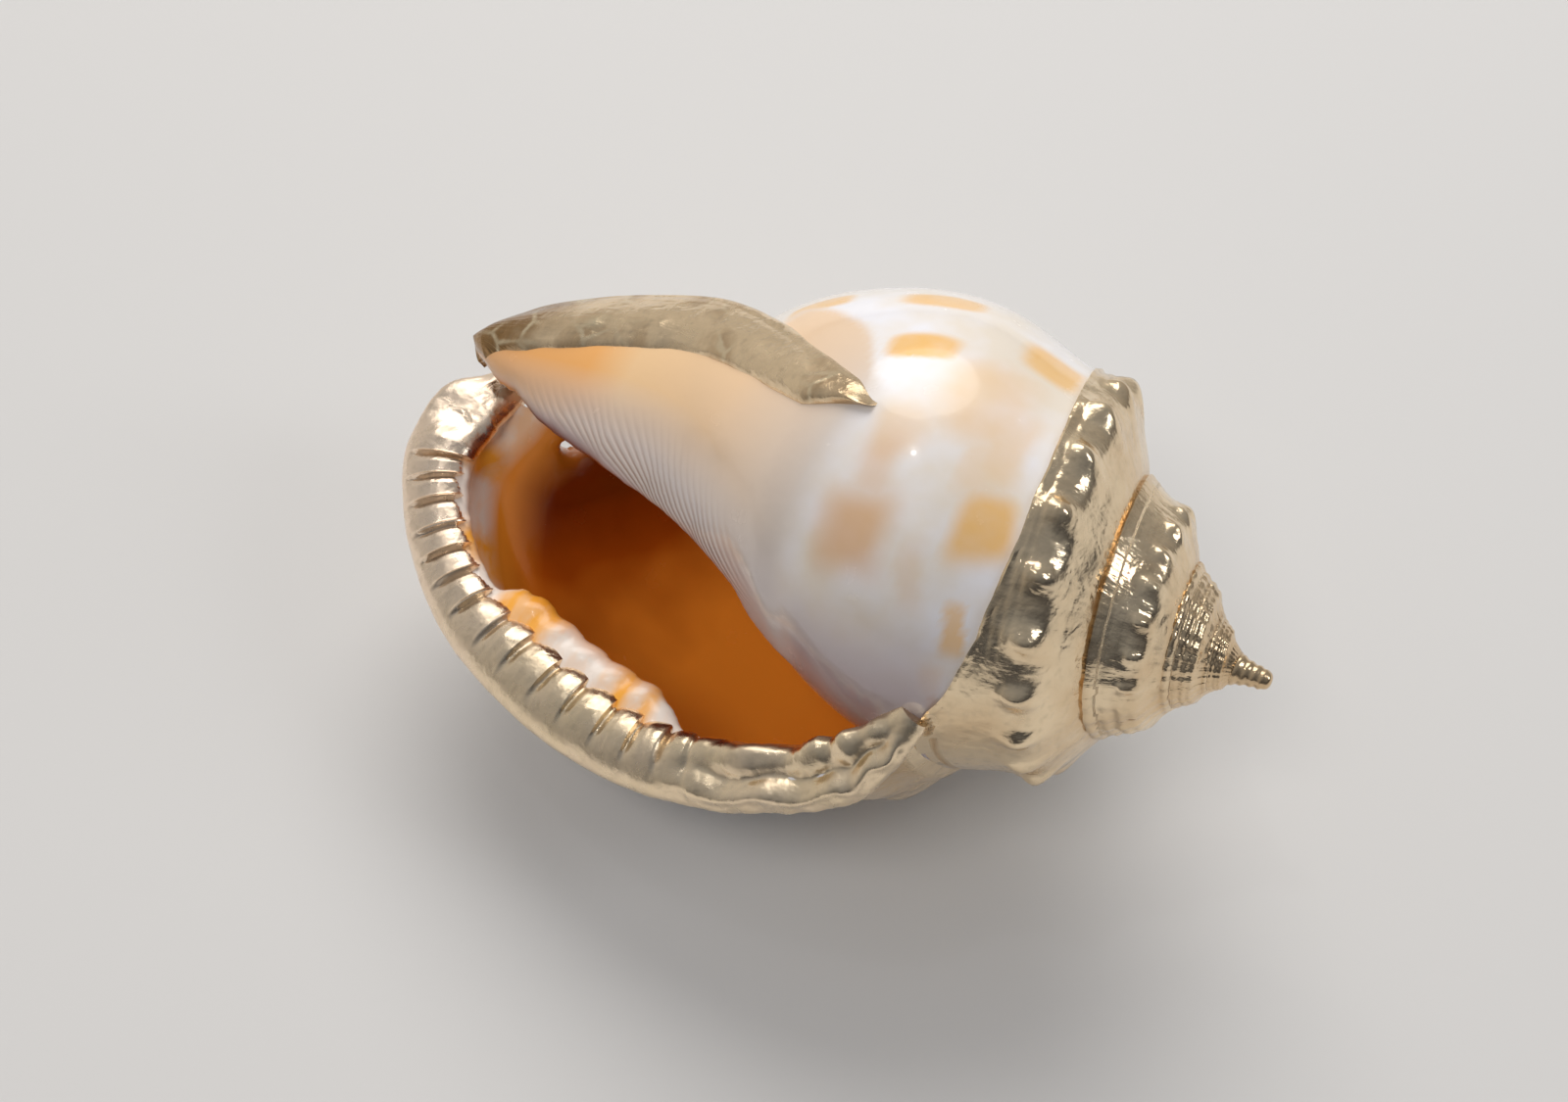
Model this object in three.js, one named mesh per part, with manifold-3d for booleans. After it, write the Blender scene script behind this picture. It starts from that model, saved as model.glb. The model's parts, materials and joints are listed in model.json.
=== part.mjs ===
// A bonnet shell lying on its back, with three plated metal trims: the spire, the outer lip and the
// free edge of the shield. Millimetres.
//
// The shell is described round its coil axis. A point is (h, w, v): h from the apex towards the canal,
// w towards the mouth side and v towards the outer lip. Turn n counts whorls back from the lip.
import * as THREE from "three";
import { mergeVertices } from "three/addons/utils/BufferGeometryUtils.js";
import Module from "manifold-3d";

const wasm = await Module();
wasm.setup();

// Coil: how the shoulder of the whorl spirals out from the apex
const LIP_SHOULDER_RADIUS = 31.5;
const LIP_SHOULDER_DEPTH = 33.7; // from the apex, along the coil axis
const RADIUS_SHRINK = [-0.51, -0.031]; // of the logarithm of the radius, for each turn and turn squared
const DEPTH_SHRINK = [-0.626, 0.0336];
const LIP_ANGLE = 70; // degrees from the mouth side round to the outer lip, where n is 0
const WHORLS = 4.5; // of the plating, and the shell under it is shorter
const CORE_WHORLS = 2.5;
const CORE_TIP = 4.6; // depth of the shell's own tip under the plating

// Whorl profile, in shoulder radii from the shoulder: [depth towards the canal, radius]
const SUTURE = [-0.184, 0.682];
const PROFILE = [
  SUTURE,
  [-0.1, 0.82],
  [0, 0.97],
  [0.267, 1.06],
  [0.616, 1.175],
  [0.84, 1.197],
  [1.09, 1.165],
  [1.31, 1.098],
  [1.514, 1.008],
  [1.72, 0.871],
  [1.87, 0.71],
  [1.98, 0.53],
  [2.08, 0.32],
  [2.15, 0],
];

// Plating
const PLATE = 0.5;
const GAP = 0.3;
const CREVICE = 0.25; // gap under the plating along the suture
const OPEN_BELOW = 0.05; // how far the hollow of the cap runs past its edge, in shoulder radii
const OPEN_SINK = 3; // and on the axis, in millimetres
const EDGE_SHADOW = 0.012; // gap below the plated edge, in shoulder radii
const STEEP = [0.84, 0.9]; // turns where the plated edge begins to run steeply
const STEEP_SHADOW = 4; // how much wider the gap is there
const PLATED_EDGE = [
  // [turn, depth of the plated edge below the shoulder in shoulder radii]
  [-0.1, 0.22],
  [0.3, 0.22],
  [0.556, 0.21],
  [0.7, 0.17],
  [0.78, 0.19],
  [0.86, 0.28],
  [0.92, 0.42],
  [0.96, 0.56],
  [1.1, 0.6],
];

// Nodules on the shoulder
const NODULES = 20; // in each whorl
const NODULE_HEIGHT = 0.075; // in shoulder radii
const PLATED_COLUMNS = 60; // in each whorl, three for each nodule
const BODY_COLUMNS = 32;
const NODULES_FADE = 0.2; // turns over which the nodules grow weak towards the lip
const SHOULDER_DROP = 0.11; // how much the last shoulder narrows at the lip, in shoulder radii
const LIP_SLIP = 1.8; // how much lower it runs there
const DROP_TURNS = 0.35; // turns over which both grow
const APEX_BULB = [1.25, 0.95]; // half length and radius of the tip

// Cavity of the body whorl, in the same units as the profile
const CAVITY = [
  [-0.06, 0.78],
  [0.02, 0.91],
  [0.45, 1.06],
  [0.82, 1.13],
  [1.2, 1.07],
  [1.514, 0.935],
  [1.76, 0.73],
  [1.9, 0.36],
  [1.7, 0.15],
  [1.2, 0.15],
  [0.85, 0.26],
  [0.6, 0.49],
  [0.4, 0.65],
  [0.155, 0.735],
];
const CAVITY_SHOULDER = 3; // the first points, which lie under the plated shoulder
const CAVITY_TURNS = [0.07, 2.1];
const CAVITY_STATIONS = 34;

// Outer wall between the body and the lip
const WALL = 1.9;
const LIP_WALL = 5.2; // the wall thickens inwards to the lip
const WALL_TURN = 0.1; // where the outer wall leaves the body solid
const INNERMOST = 0.8; // most of the radius that the wall takes near the canal
const WALL_STEP = 0.2; // how far it lies under the body's surface there
const WALL_BURIED = 0.03; // turns that it runs on into the body
const WALL_NARROWS = 0.07; // turns over which it thickens
const LIP_INSET = 0.9; // how far its edge lies under the lip's plating
const WALL_END = 2.13; // depth of an end ring for the room that is cut round it
const WALL_STEPS = 6;
const WALL_DEPTHS = [-0.16, -0.06, 0.05, 0.23, 0.25, 0.45, 0.7, 0.95, 1.2, 1.45, 1.7, 1.9, 2.04, 2.09];

// Outer lip: [h, w, v, half width, half depth] along its middle, from the suture to the canal
const LIP = [
  [30.2, 14.5, 16.3, 1.8, 1.6],
  [32.7, 13, 21.3, 2.8, 2.3],
  [36.4, 11.5, 25.2, 3.6, 2.8],
  [45.6, 10, 29.7, 3.6, 3],
  [57.7, 9, 32.1, 4, 3.1],
  [67.8, 8.6, 31.2, 4.4, 3.1],
  [76.5, 8, 28.9, 4.4, 3.1],
  [84.4, 7, 26, 4, 3],
  [91, 5.8, 21.3, 3.9, 2.9],
  [96.3, 4.3, 15.1, 4.1, 2.8],
  [98.6, 3, 9.8, 4.6, 2.7],
  [98.2, 1, 4.2, 4.6, 2.6],
  [96, -1.5, -1, 3.6, 2.4],
];
const LIP_CENTRE = [66, 6, 14];
const LIP_FOLDS = 24;
const LIP_STATIONS = 2 * LIP_FOLDS; // a crest and a valley for each fold
const FOLD_HEIGHT = 0.55;

// Shield: its edge along the aperture and its free edge, [h, w, v], from the body whorl to the canal
const COLUMELLAR_EDGE = [
  [38, 11.6, 18],
  [46.6, 9.7, 16.9],
  [54.7, 11, 12.6],
  [61.4, 11.5, 9.5],
  [68.7, 11.5, 7.1],
  [75.9, 11, 5.5],
  [85.8, 9.2, 3.3],
  [94.6, 6.4, -0.9],
  [98.8, 4.2, -2.6],
];
const FREE_EDGE = [
  [43.6, 23.1, -11],
  [50.9, 19.6, -13.1],
  [60.2, 12.8, -16],
  [69.9, 7.8, -17.2],
  [80.3, 4.9, -15.2],
  [87.5, 3.9, -12.7],
  [93.4, 3, -10],
  [97.4, 2.8, -6.8],
  [99.2, 2.8, -3.2],
];
const SHIELD_BULGE = [4.6, 7, 6.6, 5, 4.2, 3.4, 2.4, 1.4, 0.6];
const SHIELD_THICKNESS = 1.8;
const SHIELD_START = 0.03; // along its edges, so that the plating closes over its end
const SHIELD_STATIONS = 16;
const SHIELD_ACROSS = 5;
// Width of the shield's plating along the same stations
const SHIELD_TRIM_WIDTH = [0.8, 4, 6, 7.8, 8.8, 8.8, 8, 6, 4]; // from the tip on the body whorl

// Columella and fasciole behind the shield: [h, w, v, radius]
const PILLAR_STATIONS = 10;
const PILLAR_SIDES = 10;
const PILLAR = [
  [46, 1, 0, 12],
  [54, 2, 0, 10],
  [62, 3, -0.5, 8.4],
  [69, 3.5, -1.6, 7.4],
  [76, 3.4, -2.6, 6.6],
  [86, 2.2, -4.2, 5.6],
  [93, 0.2, -5.6, 4.2],
  [97, -1.6, -6.2, 2.8],
  [99.2, -2.8, -6.6, 1],
];

// Canal: a groove out of the front of the mouth, [h, w, v, radius]
const CANAL_STATIONS = 8;
const CANAL_SIDES = 10;
const CANAL = [
  [82, -2, 7, 2.2],
  [88, -5, 1.5, 2.3],
  [93, -9, -4, 2.4],
  [97, -15, -9, 3],
];

// How it lies: rolled on its back with the mouth up and forwards, on a small flat face
const REST_ROLL = 121; // degrees about the coil axis
const REST_PITCH = -6.4; // degrees, with the apex a little raised
const REST_FLAT = 0.8; // depth of the flat face below the round of the back

const SHELL_COLOUR = 0xe9ddcf;
const CAP_COLOUR = 0xc2a36a;
const LIP_COLOUR = 0xc8b08a;
const SHIELD_TRIM_COLOUR = 0xa89b78;

const ROW_DEPTHS = [SUTURE[0], -0.09, 0, 0.11]; // rows of a whorl above its lower edge
const SUTURE_ROWS = ROW_DEPTHS.length;
const NODULE_REACH = 0.1; // how far a nodule reaches over the shoulder, in shoulder radii
// How far the rows of the last whorl run on round to the lip, in turns
const LIP_LEAD = [-0.055, -0.033, -0.014, 0];
const NO_LEAD = [0, 0, 0, 0];
const LEAD_FADE = 0.15;
const MERGE = [0.9, 1]; // turns over which the plated edge comes to the next suture
const TUCK = [0.94, 1]; // turns over which the body's top row goes under the plating
const FIRST_TAIL_STEP = 0.1; // from the body's top row to the next, in shoulder radii
const BODY_ROWS = [0.45, 0.66, 0.84, 1.05, 1.25, 1.45, 1.64, 1.8, 1.94, 2.06, 2.15];

const clamp = THREE.MathUtils.clamp;
const smooth = THREE.MathUtils.smoothstep;
const lerp = THREE.MathUtils.lerp;

// A value between the points of a table of [position, value]
function along(table, position) {
  const last = table.length - 1;
  let i = 0;
  while (i < last - 1 && position > table[i + 1][0]) i += 1;
  const [from, low] = table[i];
  const [to, high] = table[i + 1];
  return low + (high - low) * clamp((position - from) / (to - from), 0, 1);
}

const profileCurve = new THREE.SplineCurve(PROFILE.map(([d, r]) => new THREE.Vector2(d, r)));
const profileSamples = profileCurve.getPoints(400).map((p) => [p.x, p.y]);

// How near turn n is to the lip, from 0 to 1
const nearLip = (n) => 1 - smooth(n, -0.02, DROP_TURNS);

// Radius of the profile at turn n, where the shoulder of the last whorl narrows towards the lip
function radiusAt(n, depth) {
  const shoulder = smooth(depth, SUTURE[0], 0) * (1 - smooth(depth, 0.05, 0.75));
  return along(profileSamples, depth) - SHOULDER_DROP * nearLip(n) * shoulder;
}

const shoulderRadius = (n) =>
  LIP_SHOULDER_RADIUS * Math.exp(RADIUS_SHRINK[0] * n + RADIUS_SHRINK[1] * n * n);
const shoulderDepth = (n) =>
  LIP_SHOULDER_DEPTH * Math.exp(DEPTH_SHRINK[0] * n + DEPTH_SHRINK[1] * n * n);
const angleAt = (n) => THREE.MathUtils.degToRad(LIP_ANGLE + 360 * n);

// A point of the shell's own frame: x towards the apex, y to the mouth side, z to the outer lip
const place = (h, w, v) => new THREE.Vector3(-h, w, v);
const polar = (n, h, r) => place(h, r * Math.cos(angleAt(n)), r * Math.sin(angleAt(n)));

// [h, r] of a point of the whorl's profile at turn n, pulled in by a depth in millimetres
function profilePoint(n, depth, radius, inset = 0) {
  const scale = shoulderRadius(n);
  const slip = LIP_SLIP * nearLip(n) * (1 - smooth(depth, 0.2, 1));
  return [shoulderDepth(n) + depth * scale + slip, Math.max(radius * scale - inset, 0)];
}

const suturePoint = (n, inset) => profilePoint(n, SUTURE[0], SUTURE[1], inset);

// [h, r] on a row of a whorl's side, from its upper suture to the next suture
function sidePoint(n, row, inset) {
  const scale = shoulderRadius(n);
  const next = suturePoint(n - 1, inset);
  if (row === SUTURE_ROWS) return next;
  const depth = ROW_DEPTHS[row];
  const end = (next[0] - shoulderDepth(n)) / scale;
  const point = profilePoint(n, depth, radiusAt(n, depth), inset);
  const miss = next[1] - profilePoint(n, end, radiusAt(n, end), inset)[1];
  return [point[0], point[1] + miss * clamp(depth / end, 0, 1) ** 1.5];
}

// Height of the nodules above the whorl
function noduleHeight(n, row) {
  const ridge = Math.max(0, Math.cos(2 * Math.PI * NODULES * n)) ** 2;
  const share = Math.exp(-(((ROW_DEPTHS[row] ?? 1) / NODULE_REACH) ** 2));
  return NODULE_HEIGHT * shoulderRadius(n) * ridge * share * smooth(n, 0.02, NODULES_FADE);
}

// Turns vertices and faces into a closed solid with its faces outwards
function solid(points, faces) {
  const volume = faces.reduce(
    (sum, [a, b, c]) => sum + points[a].dot(points[b].clone().cross(points[c])),
    0,
  );
  const wound = volume > 0 ? faces : faces.map(([a, b, c]) => [a, c, b]);
  return closed(new THREE.BufferGeometry().setFromPoints(points).setIndex(wound.flat()));
}

// A three.js geometry as a solid for joining and cutting
function closed(geometry) {
  geometry.deleteAttribute("normal").deleteAttribute("uv");
  const merged = mergeVertices(geometry, 1e-4);
  return new wasm.Manifold(
    new wasm.Mesh({
      numProp: 3,
      vertProperties: merged.attributes.position.array,
      triVerts: new Uint32Array(merged.index.array),
    }),
  );
}

const quad = (a, b, c, d) => [
  [a, b, c],
  [a, c, d],
];

// A solid from a row of closed rings with the same number of points, with a flat end on each
function lofted(rings) {
  const size = rings[0].length;
  const points = rings.flat();
  const faces = [];
  for (let i = 0; i + 1 < rings.length; i += 1)
    for (let k = 0; k < size; k += 1) {
      const next = (k + 1) % size;
      faces.push(...quad(i * size + k, (i + 1) * size + k, (i + 1) * size + next, i * size + next));
    }
  [0, rings.length - 1].forEach((i) => {
    const centre = rings[i].reduce((sum, p) => sum.add(p), new THREE.Vector3());
    points.push(centre.divideScalar(size));
    for (let k = 0; k < size; k += 1) {
      const ends = [i * size + k, i * size + ((k + 1) % size)];
      faces.push([points.length - 1, ...(i ? ends.reverse() : ends)]);
    }
  });
  return solid(points, faces);
}

// The whole coiled body as one solid. Between sutures a whorl has SUTURE_ROWS rows, and for its
// last turn, from turn `start`, it runs on down a tail of rows that ends on the coil axis.
function coiled({ start, whorls, tip, columns, side, tail, tailRows, lead }) {
  const points = [];
  const ids = new Map();
  const total = Math.round((whorls - start) * columns);
  const id = (column, row) => {
    if (row === SUTURE_ROWS && column >= columns) return id(column - columns, 0);
    const key = `${column},${row}`;
    if (!ids.has(key)) {
      const fade = 1 - smooth(column / columns, 0, LEAD_FADE);
      const n = start + column / columns + fade * (row < SUTURE_ROWS ? lead[row] : 0);
      const [h, r] = row <= SUTURE_ROWS ? side(n, row) : tail(n, row - SUTURE_ROWS);
      ids.set(key, points.length);
      points.push(polar(n, h, r));
    }
    return ids.get(key);
  };
  const faces = [];
  const strip = (column, row) =>
    faces.push(
      ...quad(id(column, row), id(column + 1, row), id(column + 1, row + 1), id(column, row + 1)),
    );
  for (let column = 0; column < total; column += 1)
    for (let row = 0; row < SUTURE_ROWS; row += 1) strip(column, row);
  const last = SUTURE_ROWS + tailRows;
  for (let column = 0; column < columns; column += 1)
    for (let row = SUTURE_ROWS; row < last; row += 1) strip(column, row);

  // The step at the start of the last whorl, zipped between its two edges
  const outer = [];
  for (let row = 0; row <= last; row += 1) outer.push(id(0, row));
  const inner = [];
  for (let row = SUTURE_ROWS; row <= last; row += 1) inner.push(id(columns, row));
  for (let column = columns - 1; column >= 0; column -= 1) inner.push(id(column, last));
  let a = 0;
  let b = 0;
  while (a < outer.length - 1 || b < inner.length - 1) {
    const ahead = a < outer.length - 1 ? points[outer[a + 1]].distanceTo(points[inner[b]]) : Infinity;
    const below = b < inner.length - 1 ? points[inner[b + 1]].distanceTo(points[outer[a]]) : Infinity;
    if (ahead < below) {
      faces.push([outer[a], outer[a + 1], inner[b]]);
      a += 1;
    } else {
      faces.push([outer[a], inner[b + 1], inner[b]]);
      b += 1;
    }
  }

  // The tip, a fan over the open end of the coil
  points.push(place(tip, 0, 0));
  const end = points.length - 1;
  for (let column = total - columns; column < total; column += 1)
    faces.push([end, id(column + 1, 0), id(column, 0)]);
  for (let row = 0; row < SUTURE_ROWS; row += 1)
    faces.push([end, id(total, row + 1), id(total, row)]);
  return solid(
    points,
    faces.filter(([p, q, r]) => p !== q && q !== r && r !== p),
  );
}

const platedDepth = (n) => along(PLATED_EDGE, n);

// The side of the last whorl is cut off at the plated edge, and older whorls at the next suture
function platedSide(n, row, { inset, beyond = 0, raised = false }) {
  const height = raised ? noduleHeight(n, row) : 0;
  const whole = sidePoint(n, row, inset);
  if (n >= 1) return [whole[0], whole[1] + height];
  const depth = ROW_DEPTHS[row] ?? platedDepth(n) + beyond;
  const cut = profilePoint(n, depth, radiusAt(n, depth), inset);
  const merge = smooth(n, ...MERGE);
  return [
    lerp(cut[0], whole[0], merge),
    lerp(cut[1], whole[1], merge) + height,
  ];
}

// A tube of round sections along a table of [h, w, v, radius]
function tube(table, stations, sides, grow = 0) {
  const path = new THREE.CatmullRomCurve3(table.map(([h, w, v]) => place(h, w, v)));
  const radii = table.map((row, i) => [i / (table.length - 1), row[3]]);
  const rings = [];
  for (let i = 0; i <= stations; i += 1) {
    const t = i / stations;
    const centre = path.getPoint(t);
    const forward = path.getTangent(t);
    const side = new THREE.Vector3(0, 0, 1).cross(forward).normalize();
    const up = forward.clone().cross(side);
    if (i === 0) centre.addScaledVector(forward, -grow);
    if (i === stations) centre.addScaledVector(forward, grow);
    const radius = along(radii, t) + grow;
    const ring = [];
    for (let k = 0; k < sides; k += 1) {
      const turn = (2 * Math.PI * k) / sides;
      ring.push(
        centre
          .clone()
          .addScaledVector(side, radius * Math.cos(turn))
          .addScaledVector(up, radius * Math.sin(turn)),
      );
    }
    rings.push(ring);
  }
  return lofted(rings);
}

// The rounded bar of the outer lip. Its folds run across the face that looks out of the mouth.
function lipBar({ stations, sides, inset, folds = false, first = 0 }) {
  const path = new THREE.CatmullRomCurve3(LIP.map(([h, w, v]) => place(h, w, v)));
  const share = (i) => i / (LIP.length - 1);
  const widths = LIP.map((row, i) => [share(i), row[3]]);
  const depths = LIP.map((row, i) => [share(i), row[4]]);
  const centre = place(...LIP_CENTRE);
  const rings = [];
  const lengthen = folds ? 0 : PLATE + GAP - inset;
  for (let i = 0; i <= stations; i += 1) {
    const t = first + ((1 - first) * i) / stations;
    const middle = path.getPoint(t);
    const forward = path.getTangent(t);
    if (i === 0) middle.addScaledVector(forward, -lengthen);
    if (i === stations) middle.addScaledVector(forward, lengthen);
    const out = middle.clone().sub(centre);
    out.addScaledVector(forward, -out.dot(forward)).normalize();
    const face = out.clone().cross(forward).normalize();
    if (face.y < 0) face.negate();
    const width = along(widths, t) - inset;
    const depth = along(depths, t) - inset;
    const ridge = folds ? FOLD_HEIGHT * Math.max(0, Math.cos(2 * Math.PI * LIP_FOLDS * t)) : 0;
    const ring = [];
    for (let k = 0; k < sides; k += 1) {
      const turn = (2 * Math.PI * k) / sides;
      const lift = ridge * Math.max(0, Math.sin(turn + 0.5));
      ring.push(
        middle
          .clone()
          .addScaledVector(out, (width + lift) * Math.cos(turn))
          .addScaledVector(face, (depth + lift) * Math.sin(turn)),
      );
    }
    rings.push(ring);
  }
  return lofted(rings);
}

const pillar = (grow) => tube(PILLAR, PILLAR_STATIONS, PILLAR_SIDES, grow);

// The bar of shell inside the plating, which stops short of its closed tip
const lipCore = (inset) => lipBar({ stations: LIP_STATIONS / 2, sides: 8, inset, first: 0.02 });

// How far round the edge of the outer wall reaches, as a turn, at each depth of the profile
const WALL_EDGE = [
  [-0.184, -0.055],
  [-0.06, -0.033],
  [0.08, -0.014],
  [0.4, 0.004],
  [2.15, 0.012],
];

// The outer wall between the body and the lip, grown or shrunk by `grow`
function outerWall(grow) {
  const depths = grow > 0 ? [...WALL_DEPTHS, WALL_END] : WALL_DEPTHS;
  const ends = [depths[0], depths.at(-1)];
  const rings = depths.map((depth) => {
    const side = depth === ends[0] ? -1 : Number(depth === ends[1]);
    const beyond = (side * grow) / LIP_SHOULDER_RADIUS;
    const edge = along(WALL_EDGE, depth);
    const outside = [];
    const inside = [];
    for (let i = 0; i <= WALL_STEPS; i += 1) {
      const n = edge + ((WALL_TURN + WALL_BURIED - edge) * i) / WALL_STEPS;
      const near = 1 - smooth(n, edge, edge + WALL_NARROWS);
      const plated = depth < platedDepth(n) + EDGE_SHADOW ? PLATE + GAP : 0;
      const inset = Math.max(plated, LIP_INSET * near, WALL_STEP);
      const thickness = WALL + (LIP_WALL - WALL) * near * smooth(depth, 0.1, 0.6);
      const radius = radiusAt(n, depth);
      const most = (grow > 0 ? 1 : INNERMOST) * radius * shoulderRadius(n);
      const inner = Math.min(thickness + grow, most);
      outside.push(polar(n, ...profilePoint(n, depth + beyond, radius, inset - grow)));
      inside.push(polar(n, ...profilePoint(n, depth + beyond, radius, inner)));
    }
    return [...outside, ...inside.reverse()];
  });
  return lofted(rings);
}

// The shield as a sheet between two depths below its front surface
function shieldSheet({ front, back, from, overhang, start }) {
  const inner = new THREE.CatmullRomCurve3(COLUMELLAR_EDGE.map((p) => place(...p)));
  const free = new THREE.CatmullRomCurve3(FREE_EDGE.map((p) => place(...p)));
  const bulges = SHIELD_BULGE.map((b, i) => [i / (SHIELD_BULGE.length - 1), b]);
  const widths = SHIELD_TRIM_WIDTH.map((b, i) => [i / (SHIELD_TRIM_WIDTH.length - 1), b]);
  const rings = [];
  for (let i = 0; i <= SHIELD_STATIONS; i += 1) {
    const t = start + ((1 - start) * i) / SHIELD_STATIONS;
    const a = inner.getPoint(t);
    const b = free.getPoint(t);
    const across = b.clone().sub(a);
    const width = across.length();
    const forward = inner.getTangent(t).add(free.getTangent(t)).normalize();
    const normal = forward.clone().cross(across).normalize();
    if (normal.y < 0) normal.negate();
    const plated = Math.max(0.1, 1 - along(widths, t) / width);
    const margin = Math.max(0, front - PLATE - GAP);
    const first = from === "trim" ? plated - margin / width : -overhang / width;
    const last = 1 + overhang / width;
    const front_row = [];
    const back_row = [];
    for (let k = 0; k <= SHIELD_ACROSS; k += 1) {
      const u = first + ((last - first) * k) / SHIELD_ACROSS;
      const inward = clamp(u, 0, 1);
      const bulge = along(bulges, t) * 4 * inward * (1 - inward);
      const point = a.clone().addScaledVector(across, u);
      if (i === 0) point.addScaledVector(forward, -overhang);
      if (i === SHIELD_STATIONS) point.addScaledVector(forward, overhang);
      front_row.push(point.clone().addScaledVector(normal, bulge + front));
      back_row.push(point.clone().addScaledVector(normal, bulge - back));
    }
    rings.push([...front_row, ...back_row.reverse()]);
  }
  return lofted(rings);
}

// The body with its whorls, pulled in under the plated spire
function bodyWhorls(sideGrow, tailGrow) {
  const inset = PLATE + GAP - sideGrow;
  return coiled({
    start: WALL_TURN,
    whorls: CORE_WHORLS,
    tip: CORE_TIP - sideGrow,
    columns: BODY_COLUMNS,
    lead: NO_LEAD,
    tailRows: BODY_ROWS.length + 1,
    side: (n, row) => platedSide(n, row, { inset }),
    tail: (n, row) => {
      const top = platedDepth(n) + EDGE_SHADOW * (1 + STEEP_SHADOW * smooth(n, ...STEEP));
      const [first, bottom] = [BODY_ROWS[0], BODY_ROWS.at(-1)];
      const share = row === 1 ? 0 : (BODY_ROWS[row - 2] - first) / (bottom - first);
      const depth = row === 1 ? top : lerp(top + FIRST_TAIL_STEP, bottom, share);
      const radius = row === BODY_ROWS.length + 1 ? 0 : radiusAt(n, depth);
      const buried = row === 1 ? (PLATE + GAP) * smooth(n, ...TUCK) : 0;
      return profilePoint(n, depth, radius, buried - tailGrow * (radius > 0));
    },
  });
}

function cavity() {
  const [first, last] = CAVITY_TURNS;
  const rings = [];
  for (let i = 0; i <= CAVITY_STATIONS; i += 1) {
    const n = first + ((last - first) * i) / CAVITY_STATIONS;
    const ring = CAVITY.map(([depth, radius], k) => {
      const narrowed = along(profileSamples, depth) - radiusAt(n, depth);
      const shoulder = k < CAVITY_SHOULDER;
      return shoulder
        ? profilePoint(n, depth, radius - narrowed, PLATE + GAP)
        : profilePoint(n, depth, radius);
    });
    rings.push(ring.map(([h, r]) => polar(n, h, r)));
  }
  return lofted(rings);
}

// The largest body of a solid, without the crumbs that a cut leaves
function largest(made) {
  return made.decompose().reduce((a, b) => (a.volume() > b.volume() ? a : b));
}

const rest = new THREE.Matrix4().makeRotationFromEuler(
  new THREE.Euler(
    THREE.MathUtils.degToRad(REST_ROLL),
    THREE.MathUtils.degToRad(REST_PITCH),
    0,
    "YXZ",
  ),
);

// A block under the table's surface, which cuts the flat face that a body rests on
function belowTable(body) {
  const { vertProperties } = body.getMesh();
  const point = new THREE.Vector3();
  let lowest = Infinity;
  for (let i = 0; i < vertProperties.length; i += 3)
    lowest = Math.min(lowest, point.fromArray(vertProperties, i).applyMatrix4(rest).z);
  const [size, height] = [200, 20];
  const block = new THREE.BoxGeometry(size, size, height);
  block.translate(0, 0, lowest + REST_FLAT - height / 2).applyMatrix4(rest.clone().invert());
  return closed(block);
}

function shell() {
  const whorls = bodyWhorls(0, 0).subtract(cavity());
  const shield = shieldSheet({
    front: 0,
    back: SHIELD_THICKNESS,
    from: "edge",
    overhang: 0,
    start: SHIELD_START,
  });
  const joined = whorls
    .add(outerWall(0))
    .add(lipCore(PLATE + GAP))
    .add(pillar())
    .add(shield);
  return largest(joined.subtract(tube(CANAL, CANAL_STATIONS, CANAL_SIDES)).subtract(belowTable(whorls)));
}

// The spire's plating: a skin over the whorls down to the plated edge
function spireCap() {
  const skin = (start, columns, look, sink = 0) =>
    coiled({
      start,
      whorls: WHORLS,
      tip: look.inset,
      columns,
      lead: LIP_LEAD,
      tailRows: 1,
      side: (n, row) => platedSide(n, row, look),
      tail: (n) => [profilePoint(n, platedDepth(n), 0)[0] + sink, 0],
    });
  const outside = skin(0, PLATED_COLUMNS, { inset: 0, raised: true });
  const start = WALL_TURN - 4 / BODY_COLUMNS;
  const inside = skin(start, BODY_COLUMNS, { inset: PLATE, beyond: OPEN_BELOW }, OPEN_SINK);
  return largest(
    outside
      .subtract(inside)
      .add(apexBulb())
      .subtract(outerWall(GAP))
      .subtract(bodyWhorls(CREVICE, CREVICE))
      .subtract(lipCore(-GAP)),
  );
}

// The rounded tip of the spire
function apexBulb() {
  const [length, radius] = APEX_BULB;
  const ball = new THREE.SphereGeometry(1, 10, 6).rotateZ(Math.PI / 2).scale(length, radius, radius);
  return closed(ball.translate(-length, 0, 0));
}

// The room that the shield and its plating take, with a clear gap round it
function clearOfShield(gap, from) {
  return shieldSheet({
    front: gap,
    back: SHIELD_THICKNESS + gap,
    from,
    overhang: gap,
    start: from === "trim" ? 0 : SHIELD_START,
  });
}

// The outer lip's plating: a skin round the bar, open at the back where the wall comes in
function outerLipTrim() {
  const outside = lipBar({ stations: LIP_STATIONS, sides: 10, inset: 0, folds: true });
  return largest(
    outside
      .subtract(lipCore(PLATE))
      .subtract(outerWall(GAP))
      .subtract(bodyWhorls(PLATE + 2 * GAP, GAP))
      .subtract(pillar(GAP))
      .subtract(clearOfShield(GAP, "edge"))
      .subtract(clearOfShield(PLATE + 3 * GAP, "trim")),
  );
}

// The shield's plating: a skin folded over its free edge
function shieldTrim() {
  const skin = PLATE + GAP;
  const outside = shieldSheet({
    front: skin,
    back: SHIELD_THICKNESS + skin,
    from: "trim",
    overhang: skin,
    start: 0,
  });
  return largest(
    outside
      .subtract(clearOfShield(GAP, "edge"))
      .subtract(bodyWhorls(GAP, GAP))
      .subtract(lipCore(PLATE))
      .subtract(pillar(GAP)),
  );
}

const whole = shell();
const cap = spireCap();
const lipTrim = outerLipTrim();
const innerTrim = shieldTrim();

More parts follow.
